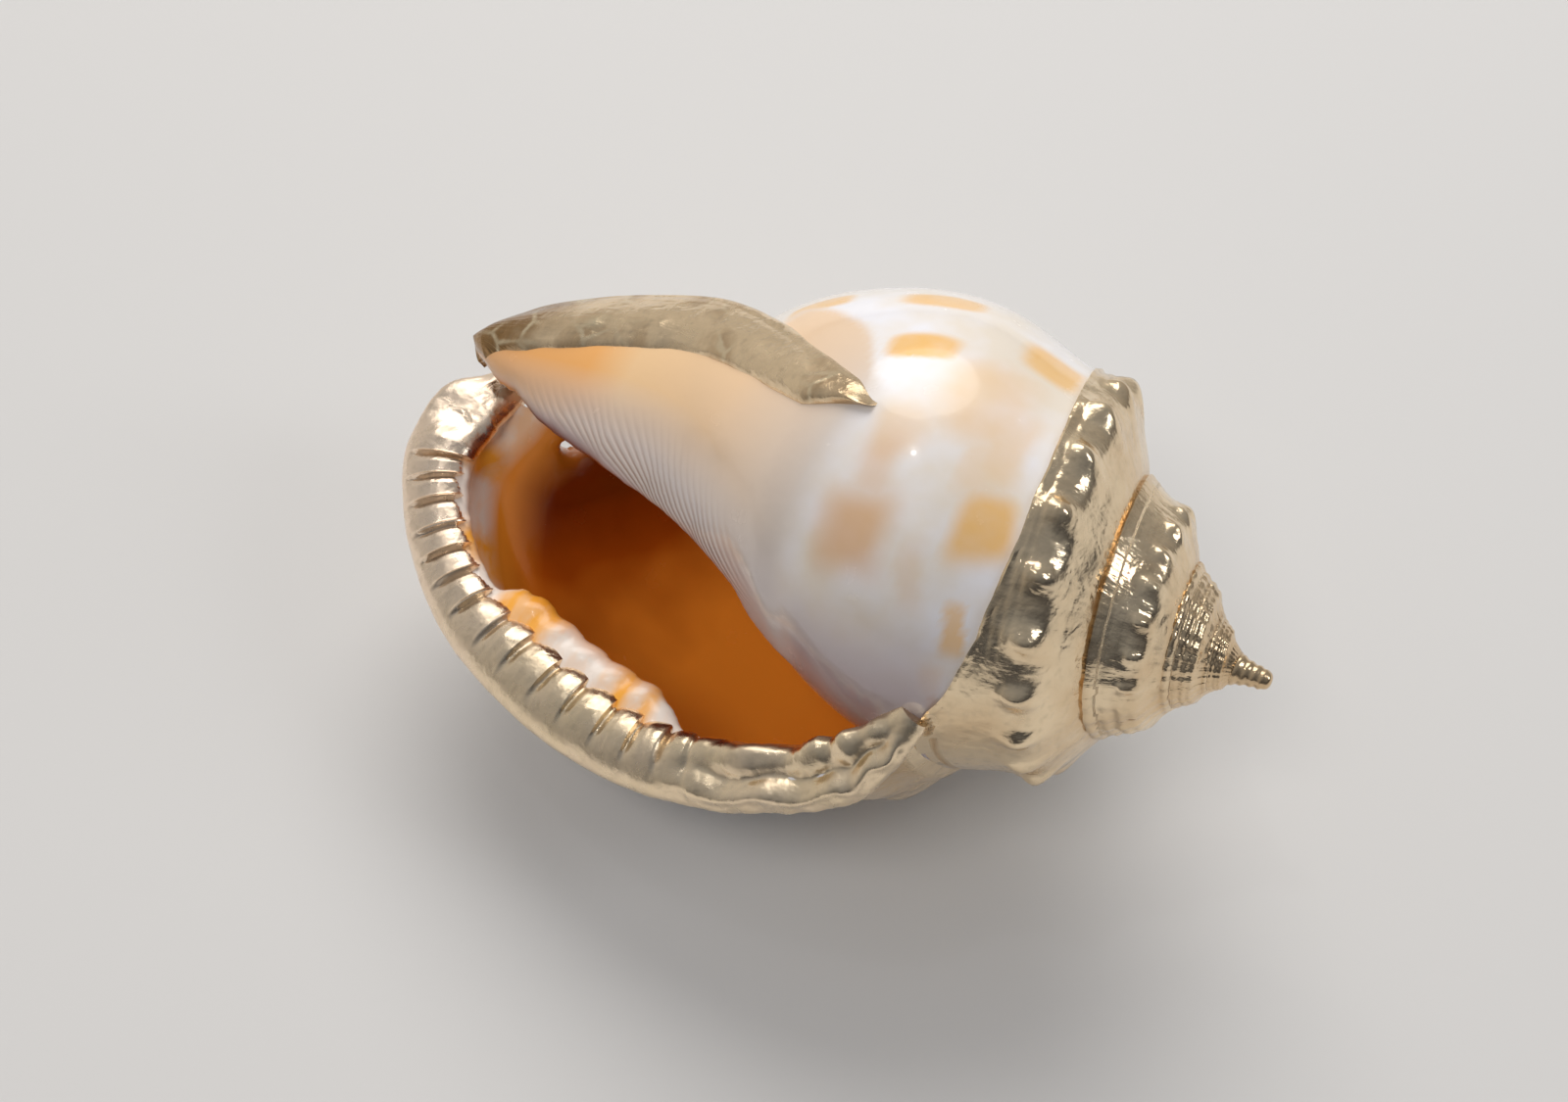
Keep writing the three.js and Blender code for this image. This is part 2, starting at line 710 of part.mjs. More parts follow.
function named(name, made, colour, metalness, roughness) {
  const mesh = made.getMesh();
  const geometry = new THREE.BufferGeometry()
    .setAttribute("position", new THREE.BufferAttribute(mesh.vertProperties, 3))
    .setIndex(new THREE.BufferAttribute(mesh.triVerts, 1));
  const material = new THREE.MeshStandardMaterial({ color: colour, metalness, roughness });
  const result = new THREE.Mesh(geometry, material);
  result.name = name;
  return result;
}

const part = new THREE.Group();
part.add(named("shell", whole, SHELL_COLOUR, 0, 0.25));
part.add(named("spire_cap", cap, CAP_COLOUR, 1, 0.25));
part.add(named("outer_lip_trim", lipTrim, LIP_COLOUR, 1, 0.3));
part.add(named("shield_trim", innerTrim, SHIELD_TRIM_COLOUR, 1, 0.35));
part.quaternion.setFromRotationMatrix(rest);

// The origin is the bottom centre of the box round it
const box = new THREE.Box3().setFromObject(part, true);
const middle = box.getCenter(new THREE.Vector3());
part.position.set(-middle.x, -middle.y, -box.min.z);

export default part;
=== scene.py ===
import json
import math

import bmesh
import bpy
import numpy as np
from mathutils import Matrix, Vector, noise

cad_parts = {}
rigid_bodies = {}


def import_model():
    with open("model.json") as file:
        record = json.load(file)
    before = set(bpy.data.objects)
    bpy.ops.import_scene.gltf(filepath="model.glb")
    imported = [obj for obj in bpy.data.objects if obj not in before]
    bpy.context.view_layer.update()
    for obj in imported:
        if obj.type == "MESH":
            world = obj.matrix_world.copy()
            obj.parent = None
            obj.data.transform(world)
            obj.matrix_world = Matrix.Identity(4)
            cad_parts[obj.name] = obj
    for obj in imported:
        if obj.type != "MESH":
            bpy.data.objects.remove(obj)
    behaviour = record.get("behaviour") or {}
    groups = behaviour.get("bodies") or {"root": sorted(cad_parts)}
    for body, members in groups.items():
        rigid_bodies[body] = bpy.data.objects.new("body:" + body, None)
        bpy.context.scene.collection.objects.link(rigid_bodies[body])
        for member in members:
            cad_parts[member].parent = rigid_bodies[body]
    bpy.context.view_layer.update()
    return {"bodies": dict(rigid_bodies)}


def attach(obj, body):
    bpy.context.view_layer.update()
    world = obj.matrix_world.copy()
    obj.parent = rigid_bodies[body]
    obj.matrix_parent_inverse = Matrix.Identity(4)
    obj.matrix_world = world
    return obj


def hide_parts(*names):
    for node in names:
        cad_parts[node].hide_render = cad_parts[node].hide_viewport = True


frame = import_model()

bl_info = {
    "name": "Plated bonnet shell",
    "version": (1, 0, 0),
    "blender": (4, 5, 0),
    "location": "View3D > Sidebar > Shell",
    "description": "A bonnet sea shell on its back, with plating on its spire, outer lip and shield",
    "category": "Object",
}

# The shell is described round its coil axis, in millimetres. A point is (h, w, v): h from the apex
# towards the canal, w towards the mouth side and v towards the outer lip. Turn n counts whorls back
# from the lip. Depths and radii of the whorl are in shoulder radii.
LIP_SHOULDER_RADIUS = 31.5
LIP_SHOULDER_DEPTH = 33.7
RADIUS_SHRINK = (-0.51, -0.031)
DEPTH_SHRINK = (-0.626, 0.0336)
LIP_ANGLE = 70.0
WHORLS = 4.5
CORE_WHORLS = 2.5
CORE_TIP = 4.6
SUTURE = (-0.184, 0.682)
PROFILE = [
    SUTURE, (-0.1, 0.82), (0, 0.97), (0.267, 1.06), (0.616, 1.175), (0.84, 1.197), (1.09, 1.165),
    (1.31, 1.098), (1.514, 1.008), (1.72, 0.871), (1.87, 0.71), (1.98, 0.53), (2.08, 0.32), (2.15, 0),
]
SHOULDER_DROP = 0.11  # how much narrower the shoulder is near the lip
LIP_SLIP = 1.8  # how far the whorl slips forward near the lip, in millimetres
DROP_TURNS = 0.35  # turns over which both fade

# Plating: what the shell is pulled in under it, its own thickness, and the turn and the depth of
# its edge on the last whorl
SKIN = 0.8
SHEET = 0.5
COAT_RISE = 0.3  # how far the plating stands over the shell beside it
STEP_UNDER = 0.05  # how far above the plated edge the shell steps down, in shoulder radii
PLATED_EDGE = [
    (-0.1, 0.22), (0.3, 0.22), (0.556, 0.21), (0.7, 0.17), (0.78, 0.19), (0.86, 0.28), (0.92, 0.42),
    (0.96, 0.56), (1.1, 0.6),
]
EDGE_MERGES = (0.9, 1.0)  # turns over which the plated edge goes down into the suture
# How far past the lip's turn the plating leads, by depth
LIP_LEAD = [(-0.184, -0.055), (-0.09, -0.033), (0, -0.014), (0.11, 0)]
LEAD_FADE = 0.15
NODULES = 20
NODULES_FADE = 0.2
NODULE_HEIGHT = 0.062  # in shoulder radii, like the height and spacing of the cords
NODULE_SHARPNESS = 2.6
CORD_HEIGHT = 0.0035
CORD_SPACING = 0.05
# Rounded tip of the spire, as [depth, radius]
APEX = [(0, 0.02), (0.06, 0.45), (0.3, 0.85), (0.9, 1.1), (1.7, 1.2), (2.6, 1.35), (3.4, 1.6), (4.2, 1.9)]
APEX_THREAD = (0.07, 0.9)  # height and pitch of the thread round the tip

# Chamber, as [depth, radius] round its section
CHAMBER = [
    (-0.06, 0.78), (0.02, 0.91), (0.45, 1.06), (0.82, 1.13), (1.2, 1.07), (1.514, 0.935), (1.76, 0.73),
    (1.9, 0.36), (1.7, 0.15), (1.2, 0.15), (0.85, 0.26), (0.6, 0.49), (0.4, 0.65), (0.155, 0.735),
]
CHAMBER_TURNS = (0.07, 2.1)
PAINTED_GLOW = 0.06  # strength of the painted glow of the chamber, given off in place of light coming through its thin wall

# Wall between the body and the lip
WALL = 1.9
LIP_WALL = 5.2
WALL_TURN = 0.1
WALL_BURIED = 0.03
WALL_NARROWS = 0.07
LIP_INSET = 0.9
INNERMOST = 0.8  # most of the radius that the wall may take
# Where the wall ends at the lip, as [depth, turn]
WALL_EDGE = [(-0.184, -0.055), (-0.06, -0.033), (0.08, -0.014), (0.4, 0.004), (2.15, 0.012)]
WALL_DEPTHS = (-0.16, 2.14)

# Outer lip: [h, w, v, half width, half depth]
LIP = [
    (30.2, 14.5, 16.3, 1.8, 1.6), (32.7, 13, 21.3, 2.8, 2.3), (36.4, 11.5, 25.2, 3.6, 2.8),
    (45.6, 10, 29.7, 3.6, 3), (57.7, 9, 32.1, 4, 3.1), (67.8, 8.6, 31.2, 4.4, 3.1),
    (76.5, 8, 28.9, 4.4, 3.1), (84.4, 7, 26, 4, 3), (91, 5.8, 21.3, 3.9, 2.9),
    (96.3, 4.3, 15.1, 4.1, 2.8), (98.6, 3, 9.8, 4.6, 2.7), (98.2, 1, 4.2, 4.6, 2.6),
    (96, -1.5, -1, 3.6, 2.4),
]
LIP_CENTRE = (66, 6, 14)
# Folds of the lip: where their crests stand along it, and the shape of one from crest to crest
CRESTS = [
    0.27, 0.295, 0.318, 0.347, 0.38, 0.418, 0.458, 0.503, 0.545, 0.592, 0.633, 0.668, 0.7, 0.737,
    0.777, 0.817, 0.85,
]
ROUND_FOLD = [(0, 0.8), (0.2, 0.9), (0.5, 0.75), (0.75, 0.3), (0.9, -0.3), (0.96, -0.2), (1, 0.8)]
SHARP_FOLD = [(0, 1), (0.1, 0.35), (0.6, 0.3), (0.8, 0.0), (0.92, -0.5), (1, 1)]
FOLD_EDGE = [(0, 1), (0.5, 0.1), (0.9, -0.9), (1, 1)]
FOLD_HEIGHT = 0.62
# How far round the bar the plating reaches, in degrees from its outer side
PLATING_REACH = [(0.2, 205), (0.28, 160), (0.6, 152), (0.8, 150), (0.86, 200)]
PLATING_BACK = 262
PLATING_STANDS = 0.3
# Teeth inside the lip: shares of it where they start, are full, begin to fade and end
TEETH = (0.27, 0.36, 0.54, 0.66)
TEETH_IN = 3.8
TEETH_DOWN = 0.8
TEETH_HEIGHT = 0.95
# How orange the inside of the lip is along it
LIP_ORANGE = [
    (0.2, 0.5), (0.3, 0.1), (0.335, 0.05), (0.35, 0.9), (0.366, 0.2), (0.382, 0.95), (0.405, 0.2),
    (0.43, 0), (0.48, 0.05), (0.5, 0.8), (0.565, 0.95), (0.59, 0.1), (0.63, 0.0), (0.65, 0.7),
    (0.69, 0.9), (0.71, 0.3), (0.73, 0), (0.79, 0.05), (0.82, 0.85), (0.875, 0.9), (0.91, 0.3),
    (1, 0.4),
]

# Shield
COLUMELLAR_EDGE = [
    (38, 11.6, 18), (46.6, 9.7, 16.9), (54.7, 11, 12.6), (61.4, 11.5, 9.5), (68.7, 11.5, 7.1),
    (75.9, 11, 5.5), (85.8, 9.2, 3.3), (94.6, 6.4, -0.9), (98.8, 4.2, -2.6),
]
FREE_EDGE = [
    (43.6, 23.1, -11), (50.9, 19.6, -13.1), (60.2, 12.8, -16), (69.9, 7.8, -17.2), (80.3, 4.9, -15.2),
    (87.5, 3.9, -12.7), (93.4, 3, -10), (97.4, 2.8, -6.8), (99.2, 2.8, -3.2),
]
# Height of the middle of the shield over a straight line across it, and the width of its plating,
# both evenly spaced from the suture side to its tip
SHIELD_BULGE = [4.6, 7, 6.6, 5, 4.2, 3.4, 2.4, 1.4, 0.6]
SHIELD_TRIM_WIDTH = [0.3, 4, 6, 7.8, 8.8, 8.8, 8, 6, 4]
SHIELD_THICKNESS = 1.8
SHIELD_START = 0.03
WRINKLES = 46  # in the whole fan, of which the shield shows about half
WRINKLE_FAN = 0.045  # how much they lean along the edge of the mouth
WRINKLE_WOBBLE = 5.0
SHIELD_TRIM_FRONT = 0.45  # how far the plating stands over the shield
SHIELD_TRIM_CROWN = 0.7

# Columella behind the shield and the groove of the canal: [h, w, v, radius]
PILLAR = [
    (46, 1, 0, 12), (54, 2, 0, 10), (62, 3, -0.5, 8.4), (69, 3.5, -1.6, 7.4), (76, 3.4, -2.6, 6.6),
    (86, 2.2, -4.2, 5.6), (93, 0.2, -5.6, 4.2), (97, -1.6, -6.2, 2.8), (99.2, -2.8, -6.6, 1),
]
# Floor of the canal between the end of the lip and the base of the whorl
CANAL_FLOOR = [
    (97.2, 1.5, 9.5, 2.2), (96, -2, 7.8, 2.9), (93.6, -6, 7, 3.2), (90.5, -10.5, 6.5, 3), (88, -14, 6, 2),
]
CANAL = [(82, -2, 7, 2.2), (88, -5, 1.5, 2.3), (93, -9, -4, 2.4), (97, -15, -9, 3)]

# How it lies on the table
REST = Matrix.Rotation(math.radians(-6.4), 3, "Y") @ Matrix.Rotation(math.radians(121), 3, "X")
REST_PLACE = (51.330, 3.428, 38.766)
MM = 0.001

# Camera in the shell's own frame: x towards the apex, y to the mouth side, z to the outer lip
CAMERA_PLACE = (20.4, 207.1, 5.9)
CAMERA_RIGHT = (0.874, -0.318, -0.368)
CAMERA_UP = (-0.346, 0.126, -0.930)
CAMERA_LENS = 45.0
CAMERA_SENSOR = 36.0

# Smoothing of the shell's surface, and of the inside of the chamber, as shares of the way to the
# mean of each point's neighbours
SURFACE_SMOOTHING = [0.5, -0.52] * 6 + [0.4]
CHAMBER_SMOOTHING = [0.5] * 60
SEARCH_AT_ONCE = 20000  # points whose nearest place is looked for in one go
LIP_STATIONS = 240
SHIELD_STATIONS = 160

BRIGHT_SIDE = (-0.85, 0.53, 0.0)  # the side of the room that the light comes from

# Marks on the body whorl: [turn, depth, half width in turns, half height, strength, softness]
TAN_MARKS = [
    (0.678, 0.93, 0.012, 0.16, 1.0, 0.35), (0.616, 0.94, 0.012, 0.19, 0.95, 0.35),
    (0.624, 1.55, 0.013, 0.14, 0.95, 0.4), (0.672, 1.5, 0.012, 0.08, 0.9, 0.4),
    (0.632, 0.36, 0.018, 0.12, 0.85, 0.5), (0.7, 0.54, 0.03, 0.2, 0.5, 0.7),
    (0.72, 0.36, 0.03, 0.1, 0.45, 0.7), (0.745, 0.47, 0.02, 0.07, 0.35, 0.8),
    (0.745, 0.87, 0.018, 0.12, 0.4, 0.8), (0.783, 0.35, 0.023, 0.11, 0.95, 0.65),
    (0.857, 0.41, 0.02, 0.05, 0.75, 0.5), (0.934, 0.93, 0.012, 0.1, 0.85, 0.6),
    (0.905, 0.47, 0.012, 0.05, 0.4, 0.8),
]
BROWN_MARKS = [
    (0.815, 0.96, 0.024, 0.16, 0.75, 1.0), (0.772, 0.93, 0.02, 0.09, 0.4, 1.1),
    (0.846, 1.58, 0.03, 0.1, 0.5, 0.9), (0.892, 1.5, 0.02, 0.1, 0.4, 0.9),
    (0.83, 0.62, 0.02, 0.06, 0.22, 1.0), (0.925, 0.46, 0.006, 0.03, 0.9, 0.8),
]
MARK_SKEW = 0.035  # in turns, for each shoulder radius of depth
HIDDEN_BANDS = (0.36, 0.93, 1.5, 1.85)
HIDDEN_TURNS = (0.13, 0.57)
HIDDEN_STEP = 0.074

# Colours of the shell, as linear red, green and blue
CREAM = (0.76, 0.68, 0.58)
BROWN_MARK = (0.68, 0.37, 0.14)
SHADED_BODY = (0.44, 0.36, 0.37)
WRINKLE_BROWN = (0.27, 0.13, 0.08)
LIP_WHITE = (0.80, 0.70, 0.62)
LIP_AMBER = (0.86, 0.38, 0.045)
BEHIND_LIP = (0.66, 0.22, 0.02)
# Darkest colours of the chamber towards the columella: partly its own dark brown and partly painted shade
# under the shield
CHAMBER_BROWN_AND_SHADE = [(0.1, (0.16, 0.018, 0.001)), (0.5, (0.42, 0.08, 0.004))]
# Colours along the shield, from the suture side to its tip, by its free edge and by the mouth
FREE_SIDE = [
    (0.08, (0.66, 0.58, 0.52)), (0.3, (0.78, 0.54, 0.33)), (0.5, (0.80, 0.53, 0.28)),
    (0.6, (0.78, 0.38, 0.11)), (0.9, (0.66, 0.30, 0.08)),
]
MOUTH_SIDE = [
    (0.05, (0.60, 0.52, 0.50)), (0.2, (0.68, 0.62, 0.60)), (0.6, (0.64, 0.52, 0.45)),
    (0.85, (0.72, 0.38, 0.15)),
]
# Stains of the plating, and on the spire painted shadow behind the lip in the same colour
SPIRE_STAIN_AND_SHADOW = (0.62, 0.40, 0.20)
SHIELD_TARNISH = (0.36, 0.21, 0.09)
CRACKLE_GOLD = (1.0, 0.86, 0.60)
CRACKLE_CELL = 1 / 210  # in metres
SPECK_SHADE = 0.55
# The room, on its dark and its bright side, low down and overhead
ROOM_LOW = [(0.06, 0.062, 0.07), (0.55, 0.53, 0.50)]
ROOM_HIGH = [(0.20, 0.21, 0.23), (0.42, 0.42, 0.42)]


def colour_setting(name, description, default):
    return bpy.props.FloatVectorProperty(
        name=name, description=description, subtype="COLOR", size=3, default=default)


class ShellSettings(bpy.types.PropertyGroup):
    voxel: bpy.props.FloatProperty(
        name="Surface step", description="Step of the shell's surface, in millimetres",
        default=0.72, min=0.3, max=2.0)
    white: colour_setting("Porcelain white", "Ground colour of the body whorl", (0.80, 0.79, 0.83))
    tan: colour_setting("Orange tan", "Colour of the square marks", (0.80, 0.46, 0.13))
    amber: colour_setting("Amber", "Colour of the chamber near the lip", (0.95, 0.30, 0.028))


class PlatingSettings(bpy.types.PropertyGroup):
    gold: colour_setting("Champagne gold", "Colour of the plated spire", (0.93, 0.75, 0.51))
    rose: colour_setting(
        "Rose champagne", "Colour of the plating at the canal end of the lip", (0.99, 0.80, 0.62))
    pewter: colour_setting("Pewter", "Colour of the plating on the shield", (0.90, 0.70, 0.46))


class StageSettings(bpy.types.PropertyGroup):
    floor: colour_setting("Floor", "Colour of the floor", (0.62, 0.61, 0.60))
    key_power: bpy.props.FloatProperty(
        name="Key light", description="Power of the large soft light", default=5.2, unit="POWER")


def smooth(value, low, high):
    share = np.clip((value - low) / (high - low), 0, 1)
    return share * share * (3 - 2 * share)


def along(table, position):
    """Values between the rows of a table of [position, value]"""
    return np.interp(position, [row[0] for row in table], [row[1] for row in table])


def evenly(values, share):
    """Values between those of a plain list, spread evenly from 0 to 1"""
    return np.interp(share, np.linspace(0, 1, len(values)), values)


def curve(table, shares):
    """Points of a smooth curve through a table's rows, at shares of its stretches"""
    rows = np.asarray(table, float)
    rows = np.vstack([2 * rows[0] - rows[1], rows, 2 * rows[-1] - rows[-2]])
    at = np.clip(np.atleast_1d(np.asarray(shares, float)), 0, 1) * (len(table) - 1)
    span = np.minimum(at.astype(int), len(table) - 2)
    s = (at - span)[:, None]
    before, start, end, after = (rows[span + k] for k in range(4))

    def gap(a, b):
        return np.linalg.norm(b - a, axis=1, keepdims=True) ** 0.5

    first, middle, last = gap(before, start), gap(start, end), gap(end, after)
    leave = (start - before) / first - (end - before) / (first + middle) + (end - start) / middle
    arrive = (end - start) / middle - (after - start) / (middle + last) + (after - end) / last
    leave, arrive = leave * middle, arrive * middle
    bend = -3 * start + 3 * end - 2 * leave - arrive
    twist = 2 * start - 2 * end + leave + arrive
    return start + leave * s + bend * s ** 2 + twist * s ** 3


def unit(vectors):
    return vectors / np.linalg.norm(vectors, axis=-1, keepdims=True)


def place(table):
    """(h, w, v) rows as points of the shell's own frame"""
    rows = np.asarray(table, float)[..., :3]
    return rows * np.array([-1.0, 1.0, 1.0])


FINE_PROFILE = curve(PROFILE, np.linspace(0, 1, 400))


def near_lip(n):
    return 1 - smooth(n, -0.02, DROP_TURNS)


def profile_radius(n, depth):
    shoulder = smooth(depth, SUTURE[0], 0) * (1 - smooth(depth, 0.05, 0.75))
    return along(FINE_PROFILE, depth) - SHOULDER_DROP * near_lip(n) * shoulder


def shoulder_radius(n):
    return LIP_SHOULDER_RADIUS * np.exp(RADIUS_SHRINK[0] * n + RADIUS_SHRINK[1] * n * n)


def shoulder_depth(n):
    return LIP_SHOULDER_DEPTH * np.exp(DEPTH_SHRINK[0] * n + DEPTH_SHRINK[1] * n * n)


def polar(n, h, r):
    angle = np.radians(LIP_ANGLE + 360 * n)
    return np.stack(np.broadcast_arrays(-h, r * np.cos(angle), r * np.sin(angle)), axis=-1)


def profile_point(n, depth, radius, inset=0.0):
    """[h, r] of a point of the whorl's profile at turn n, pulled in by a depth in millimetres"""
    scale = shoulder_radius(n)
    slip = LIP_SLIP * near_lip(n) * (1 - smooth(depth, 0.2, 1))
    return shoulder_depth(n) + depth * scale + slip, np.maximum(radius * scale - inset, 0)


def plated_depth(n):
    return along(PLATED_EDGE, n)


def whorl_side(n, share, inset, edge_shift=0.0):
    """[h, r, depth] from a whorl's upper suture to its plated edge or the next suture"""
    scale = shoulder_radius(n)
    below = profile_point(n - 1, SUTURE[0], SUTURE[1], inset)
    end = (below[0] - shoulder_depth(n)) / scale
    whole_depth = SUTURE[0] + share * (end - SUTURE[0])
    whole = profile_point(n, whole_depth, profile_radius(n, whole_depth), inset)
    miss = below[1] - profile_point(n, end, profile_radius(n, end), inset)[1]
    whole_radius = whole[1] + miss * np.clip(whole_depth / end, 0, 1) ** 1.5
    cut_depth = SUTURE[0] + share * (plated_depth(n) + edge_shift - SUTURE[0])
    cut = profile_point(n, cut_depth, profile_radius(n, cut_depth), inset)
    merge = smooth(n, *EDGE_MERGES)
    h = cut[0] + (whole[0] - cut[0]) * merge
    r = cut[1] + (whole_radius - cut[1]) * merge
    return h, r, cut_depth + (whole_depth - cut_depth) * merge


def strips(grid):
    """Quads between the rows and columns of a grid of vertex numbers"""
    a, b, c, d = grid[:-1, :-1], grid[1:, :-1], grid[1:, 1:], grid[:-1, 1:]
    return np.stack([a, b, c, d], axis=-1).reshape(-1, 4).tolist()


def tidy_faces(faces):
    """Faces without repeated corners"""
    kept = []
    for face in faces:
        corners = [v for i, v in enumerate(face) if v != face[i - 1]]
        if len(set(corners)) == len(corners) and len(corners) > 2:
            kept.append(corners)
    return kept


def coil(start, whorls, columns, rows, side, tip, tail=None, tail_rows=0):
    """Points and faces of the coiled whorls, closed below by a tail where one is given"""
    total = round((whorls - start) * columns)
    turns = start + np.arange(total + 1) / columns
    n, share = np.meshgrid(turns, np.arange(rows) / rows, indexing="ij")
    points = [side(n, share).reshape(-1, 3)]
    count = n.size
    grid = np.zeros((total + 1, rows + 1), int)
    grid[:, :rows] = np.arange(count).reshape(total + 1, rows)
    grid[:columns, rows] = count + np.arange(columns)
    grid[columns:, rows] = grid[: total + 1 - columns, 0]
    points.append(side(turns[:columns], np.ones(columns)))
    count += columns
    points.append(place([(tip, 0, 0)]))
    faces = strips(grid)
    end, count = count, count + 1
    faces += [(end, grid[c + 1, 0], grid[c, 0]) for c in range(total - columns, total)]
    faces += [(end, grid[total, k + 1], grid[total, k]) for k in range(rows)]
    if tail is None:
        return np.vstack(points), tidy_faces(faces)

    below = np.zeros((columns + 1, tail_rows + 1), int)
    below[:, 0] = grid[: columns + 1, rows]
    n, row = np.meshgrid(turns[: columns + 1], np.arange(1, tail_rows + 1), indexing="ij")
    points.append(tail(n, row).reshape(-1, 3))
    below[:, 1:] = count + np.arange(n.size).reshape(n.shape)
    faces += strips(below)
    points = np.vstack(points)
    outer = list(grid[0, :rows]) + list(below[0])
    inner = list(below[columns]) + list(below[columns - 1:: -1, tail_rows])
    faces += zipped(points, outer, inner)
    return points, tidy_faces(faces)


def zipped(points, outer, inner):
    """Triangles between two rows of vertices that start and end at different places"""
    faces = []
    a = b = 0
    while a < len(outer) - 1 or b < len(inner) - 1:
        ahead = below = math.inf
        if a < len(outer) - 1:
            ahead = np.linalg.norm(points[outer[a + 1]] - points[inner[b]])
        if b < len(inner) - 1:
            below = np.linalg.norm(points[inner[b + 1]] - points[outer[a]])
        if ahead < below:
            faces.append((outer[a], outer[a + 1], inner[b]))
            a += 1
        else:
            faces.append((outer[a], inner[b + 1], inner[b]))
            b += 1
    return faces


def loft(rings):
    """Points and faces of a solid through closed rings, with a flat end on each"""
    stations, size = rings.shape[:2]
    ids = np.arange(stations * size).reshape(stations, size)
    faces = strips(np.hstack([ids, ids[:, :1]]))
    points = [rings.reshape(-1, 3)]
    for i, centre in ((0, stations * size), (stations - 1, stations * size + 1)):
        points.append(rings[i].mean(axis=0, keepdims=True))
        for k in range(size):
            ends = [ids[i, k], ids[i, (k + 1) % size]]
            faces.append([centre] + (ends[::-1] if i else ends))
    return np.vstack(points), faces


def lumps(points, size, seed=0):
    """Smooth noise from -1 to 1 at each point, with lumps of a size in millimetres"""
    shift = np.array([17.3, 5.1, 9.7]) * (seed + 1)
    return np.array([noise.noise(Vector(p)) for p in points / size + shift])


def mesh_from(name, points, faces):
    mesh = bpy.data.meshes.new(name)
    mesh.from_pydata(np.asarray(points).tolist(), [], [list(map(int, face)) for face in faces])
    work = bmesh.new()
    work.from_mesh(mesh)
    bmesh.ops.recalc_face_normals(work, faces=work.faces)
    work.to_mesh(mesh)
    work.free()
    return mesh


def working(name, points, faces):
    """An object in millimetres that only takes part in joining and cutting"""
    made = bpy.data.objects.new(name, mesh_from(name, points, faces))
    bpy.context.scene.collection.objects.link(made)
    return made


def baked(made):
    """The object's mesh with its modifiers, and the object itself removed"""
    graph = bpy.context.evaluated_depsgraph_get()
    mesh = bpy.data.meshes.new_from_object(made.evaluated_get(graph))
    bpy.data.objects.remove(made)
    return mesh


def join_or_cut(base, operation, tool):
    step = base.modifiers.new(operation.title(), "BOOLEAN")
    step.operation = operation
    step.solver = "MANIFOLD"
    step.object = tool


def arrays(mesh):
    """(points, edges) of a mesh as numpy"""
    points = np.empty(len(mesh.vertices) * 3)
    mesh.vertices.foreach_get("co", points)
    edges = np.empty(len(mesh.edges) * 2, int)
    mesh.edges.foreach_get("vertices", edges)
    return points.reshape(-1, 3), edges.reshape(-1, 2)


def normals_of(mesh):
    values = np.empty(len(mesh.vertices) * 3)
    mesh.vertices.foreach_get("normal", values)
    return values.reshape(-1, 3)


def set_points(mesh, points):
    mesh.vertices.foreach_set("co", np.ascontiguousarray(points, np.float32).ravel())
    mesh.update()


def relaxed(points, edges, weights):
    """Points moved towards their neighbours' mean, once for each weight"""
    count = np.bincount(edges.ravel(), minlength=len(points))[:, None]
    for weight in weights:
        total = np.zeros_like(points)
        for axis in range(3):
            for here, there in ((0, 1), (1, 0)):
                total[:, axis] += np.bincount(
                    edges[:, here], points[edges[:, there], axis], minlength=len(points))
        points = points + weight * (total / np.maximum(count, 1) - points)
    return points


def keep_largest(mesh):
    """Removes all but the largest body of a mesh"""
    work = bmesh.new()
    work.from_mesh(mesh)
    work.verts.ensure_lookup_table()
    seen = set()
    bodies = []
    for start in work.verts:
        if start.index in seen:
            continue
        body, waiting = [], [start]
        seen.add(start.index)
        while waiting:
            here = waiting.pop()
            body.append(here)
            for edge in here.link_edges:
                other = edge.other_vert(here)
                if other.index not in seen:
                    seen.add(other.index)
                    waiting.append(other)
        bodies.append(body)
    bodies.sort(key=len)
    for body in bodies[:-1]:
        bmesh.ops.delete(work, geom=body, context="VERTS")
    work.to_mesh(mesh)
    work.free()


def set_mask(mesh, name, values):
    layer = mesh.attributes.new(name, "FLOAT", "POINT")
    layer.data.foreach_set("value", np.ascontiguousarray(values, np.float32))


def to_table(points):
    """Points of the shell's own frame, in metres where it rests"""
    turned = points @ np.array(REST).T + np.array(REST_PLACE)
    turned[:, 2] = np.maximum(turned[:, 2], 0)
    return turned * MM


def finished(name, mesh, slot, material, *nodes, crease=40.0):
    """A piece of the object in place of its CAD nodes"""
    points, _ = arrays(mesh)
    set_points(mesh, to_table(points))
    mesh.shade_smooth()
    mesh.set_sharp_from_angle(angle=math.radians(crease))
    mesh.materials.clear()
    mesh.materials.append(material)
    piece = bpy.data.objects.new(name, mesh)
    bpy.context.scene.collection.objects.link(piece)
    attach(piece, BODY)
    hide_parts(*nodes)
    return piece


BODY = next(iter(frame["bodies"]))
SHELL_COPY = "shell_in_millimetres"  # what the plating is cut with


def body_whorls():
    """The coil of the shell, pulled in under the plated spire"""
    rows = 66

    def side(n, share):
        return polar(n, *whorl_side(n, share, SKIN, -STEP_UNDER)[:2])

    def tail(n, row):
        top = plated_depth(n) - STEP_UNDER + 0.012
        depth = top + (PROFILE[-1][0] - top) * (row - 1) / (rows - 1)
        radius = np.where(row == rows, 0, profile_radius(n, depth))
        buried = np.where(row == 1, SKIN * smooth(n, 0.94, 1), 0)
        return polar(n, *profile_point(n, depth, radius, buried))

    return coil(WALL_TURN, CORE_WHORLS, 220, 14, side, CORE_TIP, tail, rows)


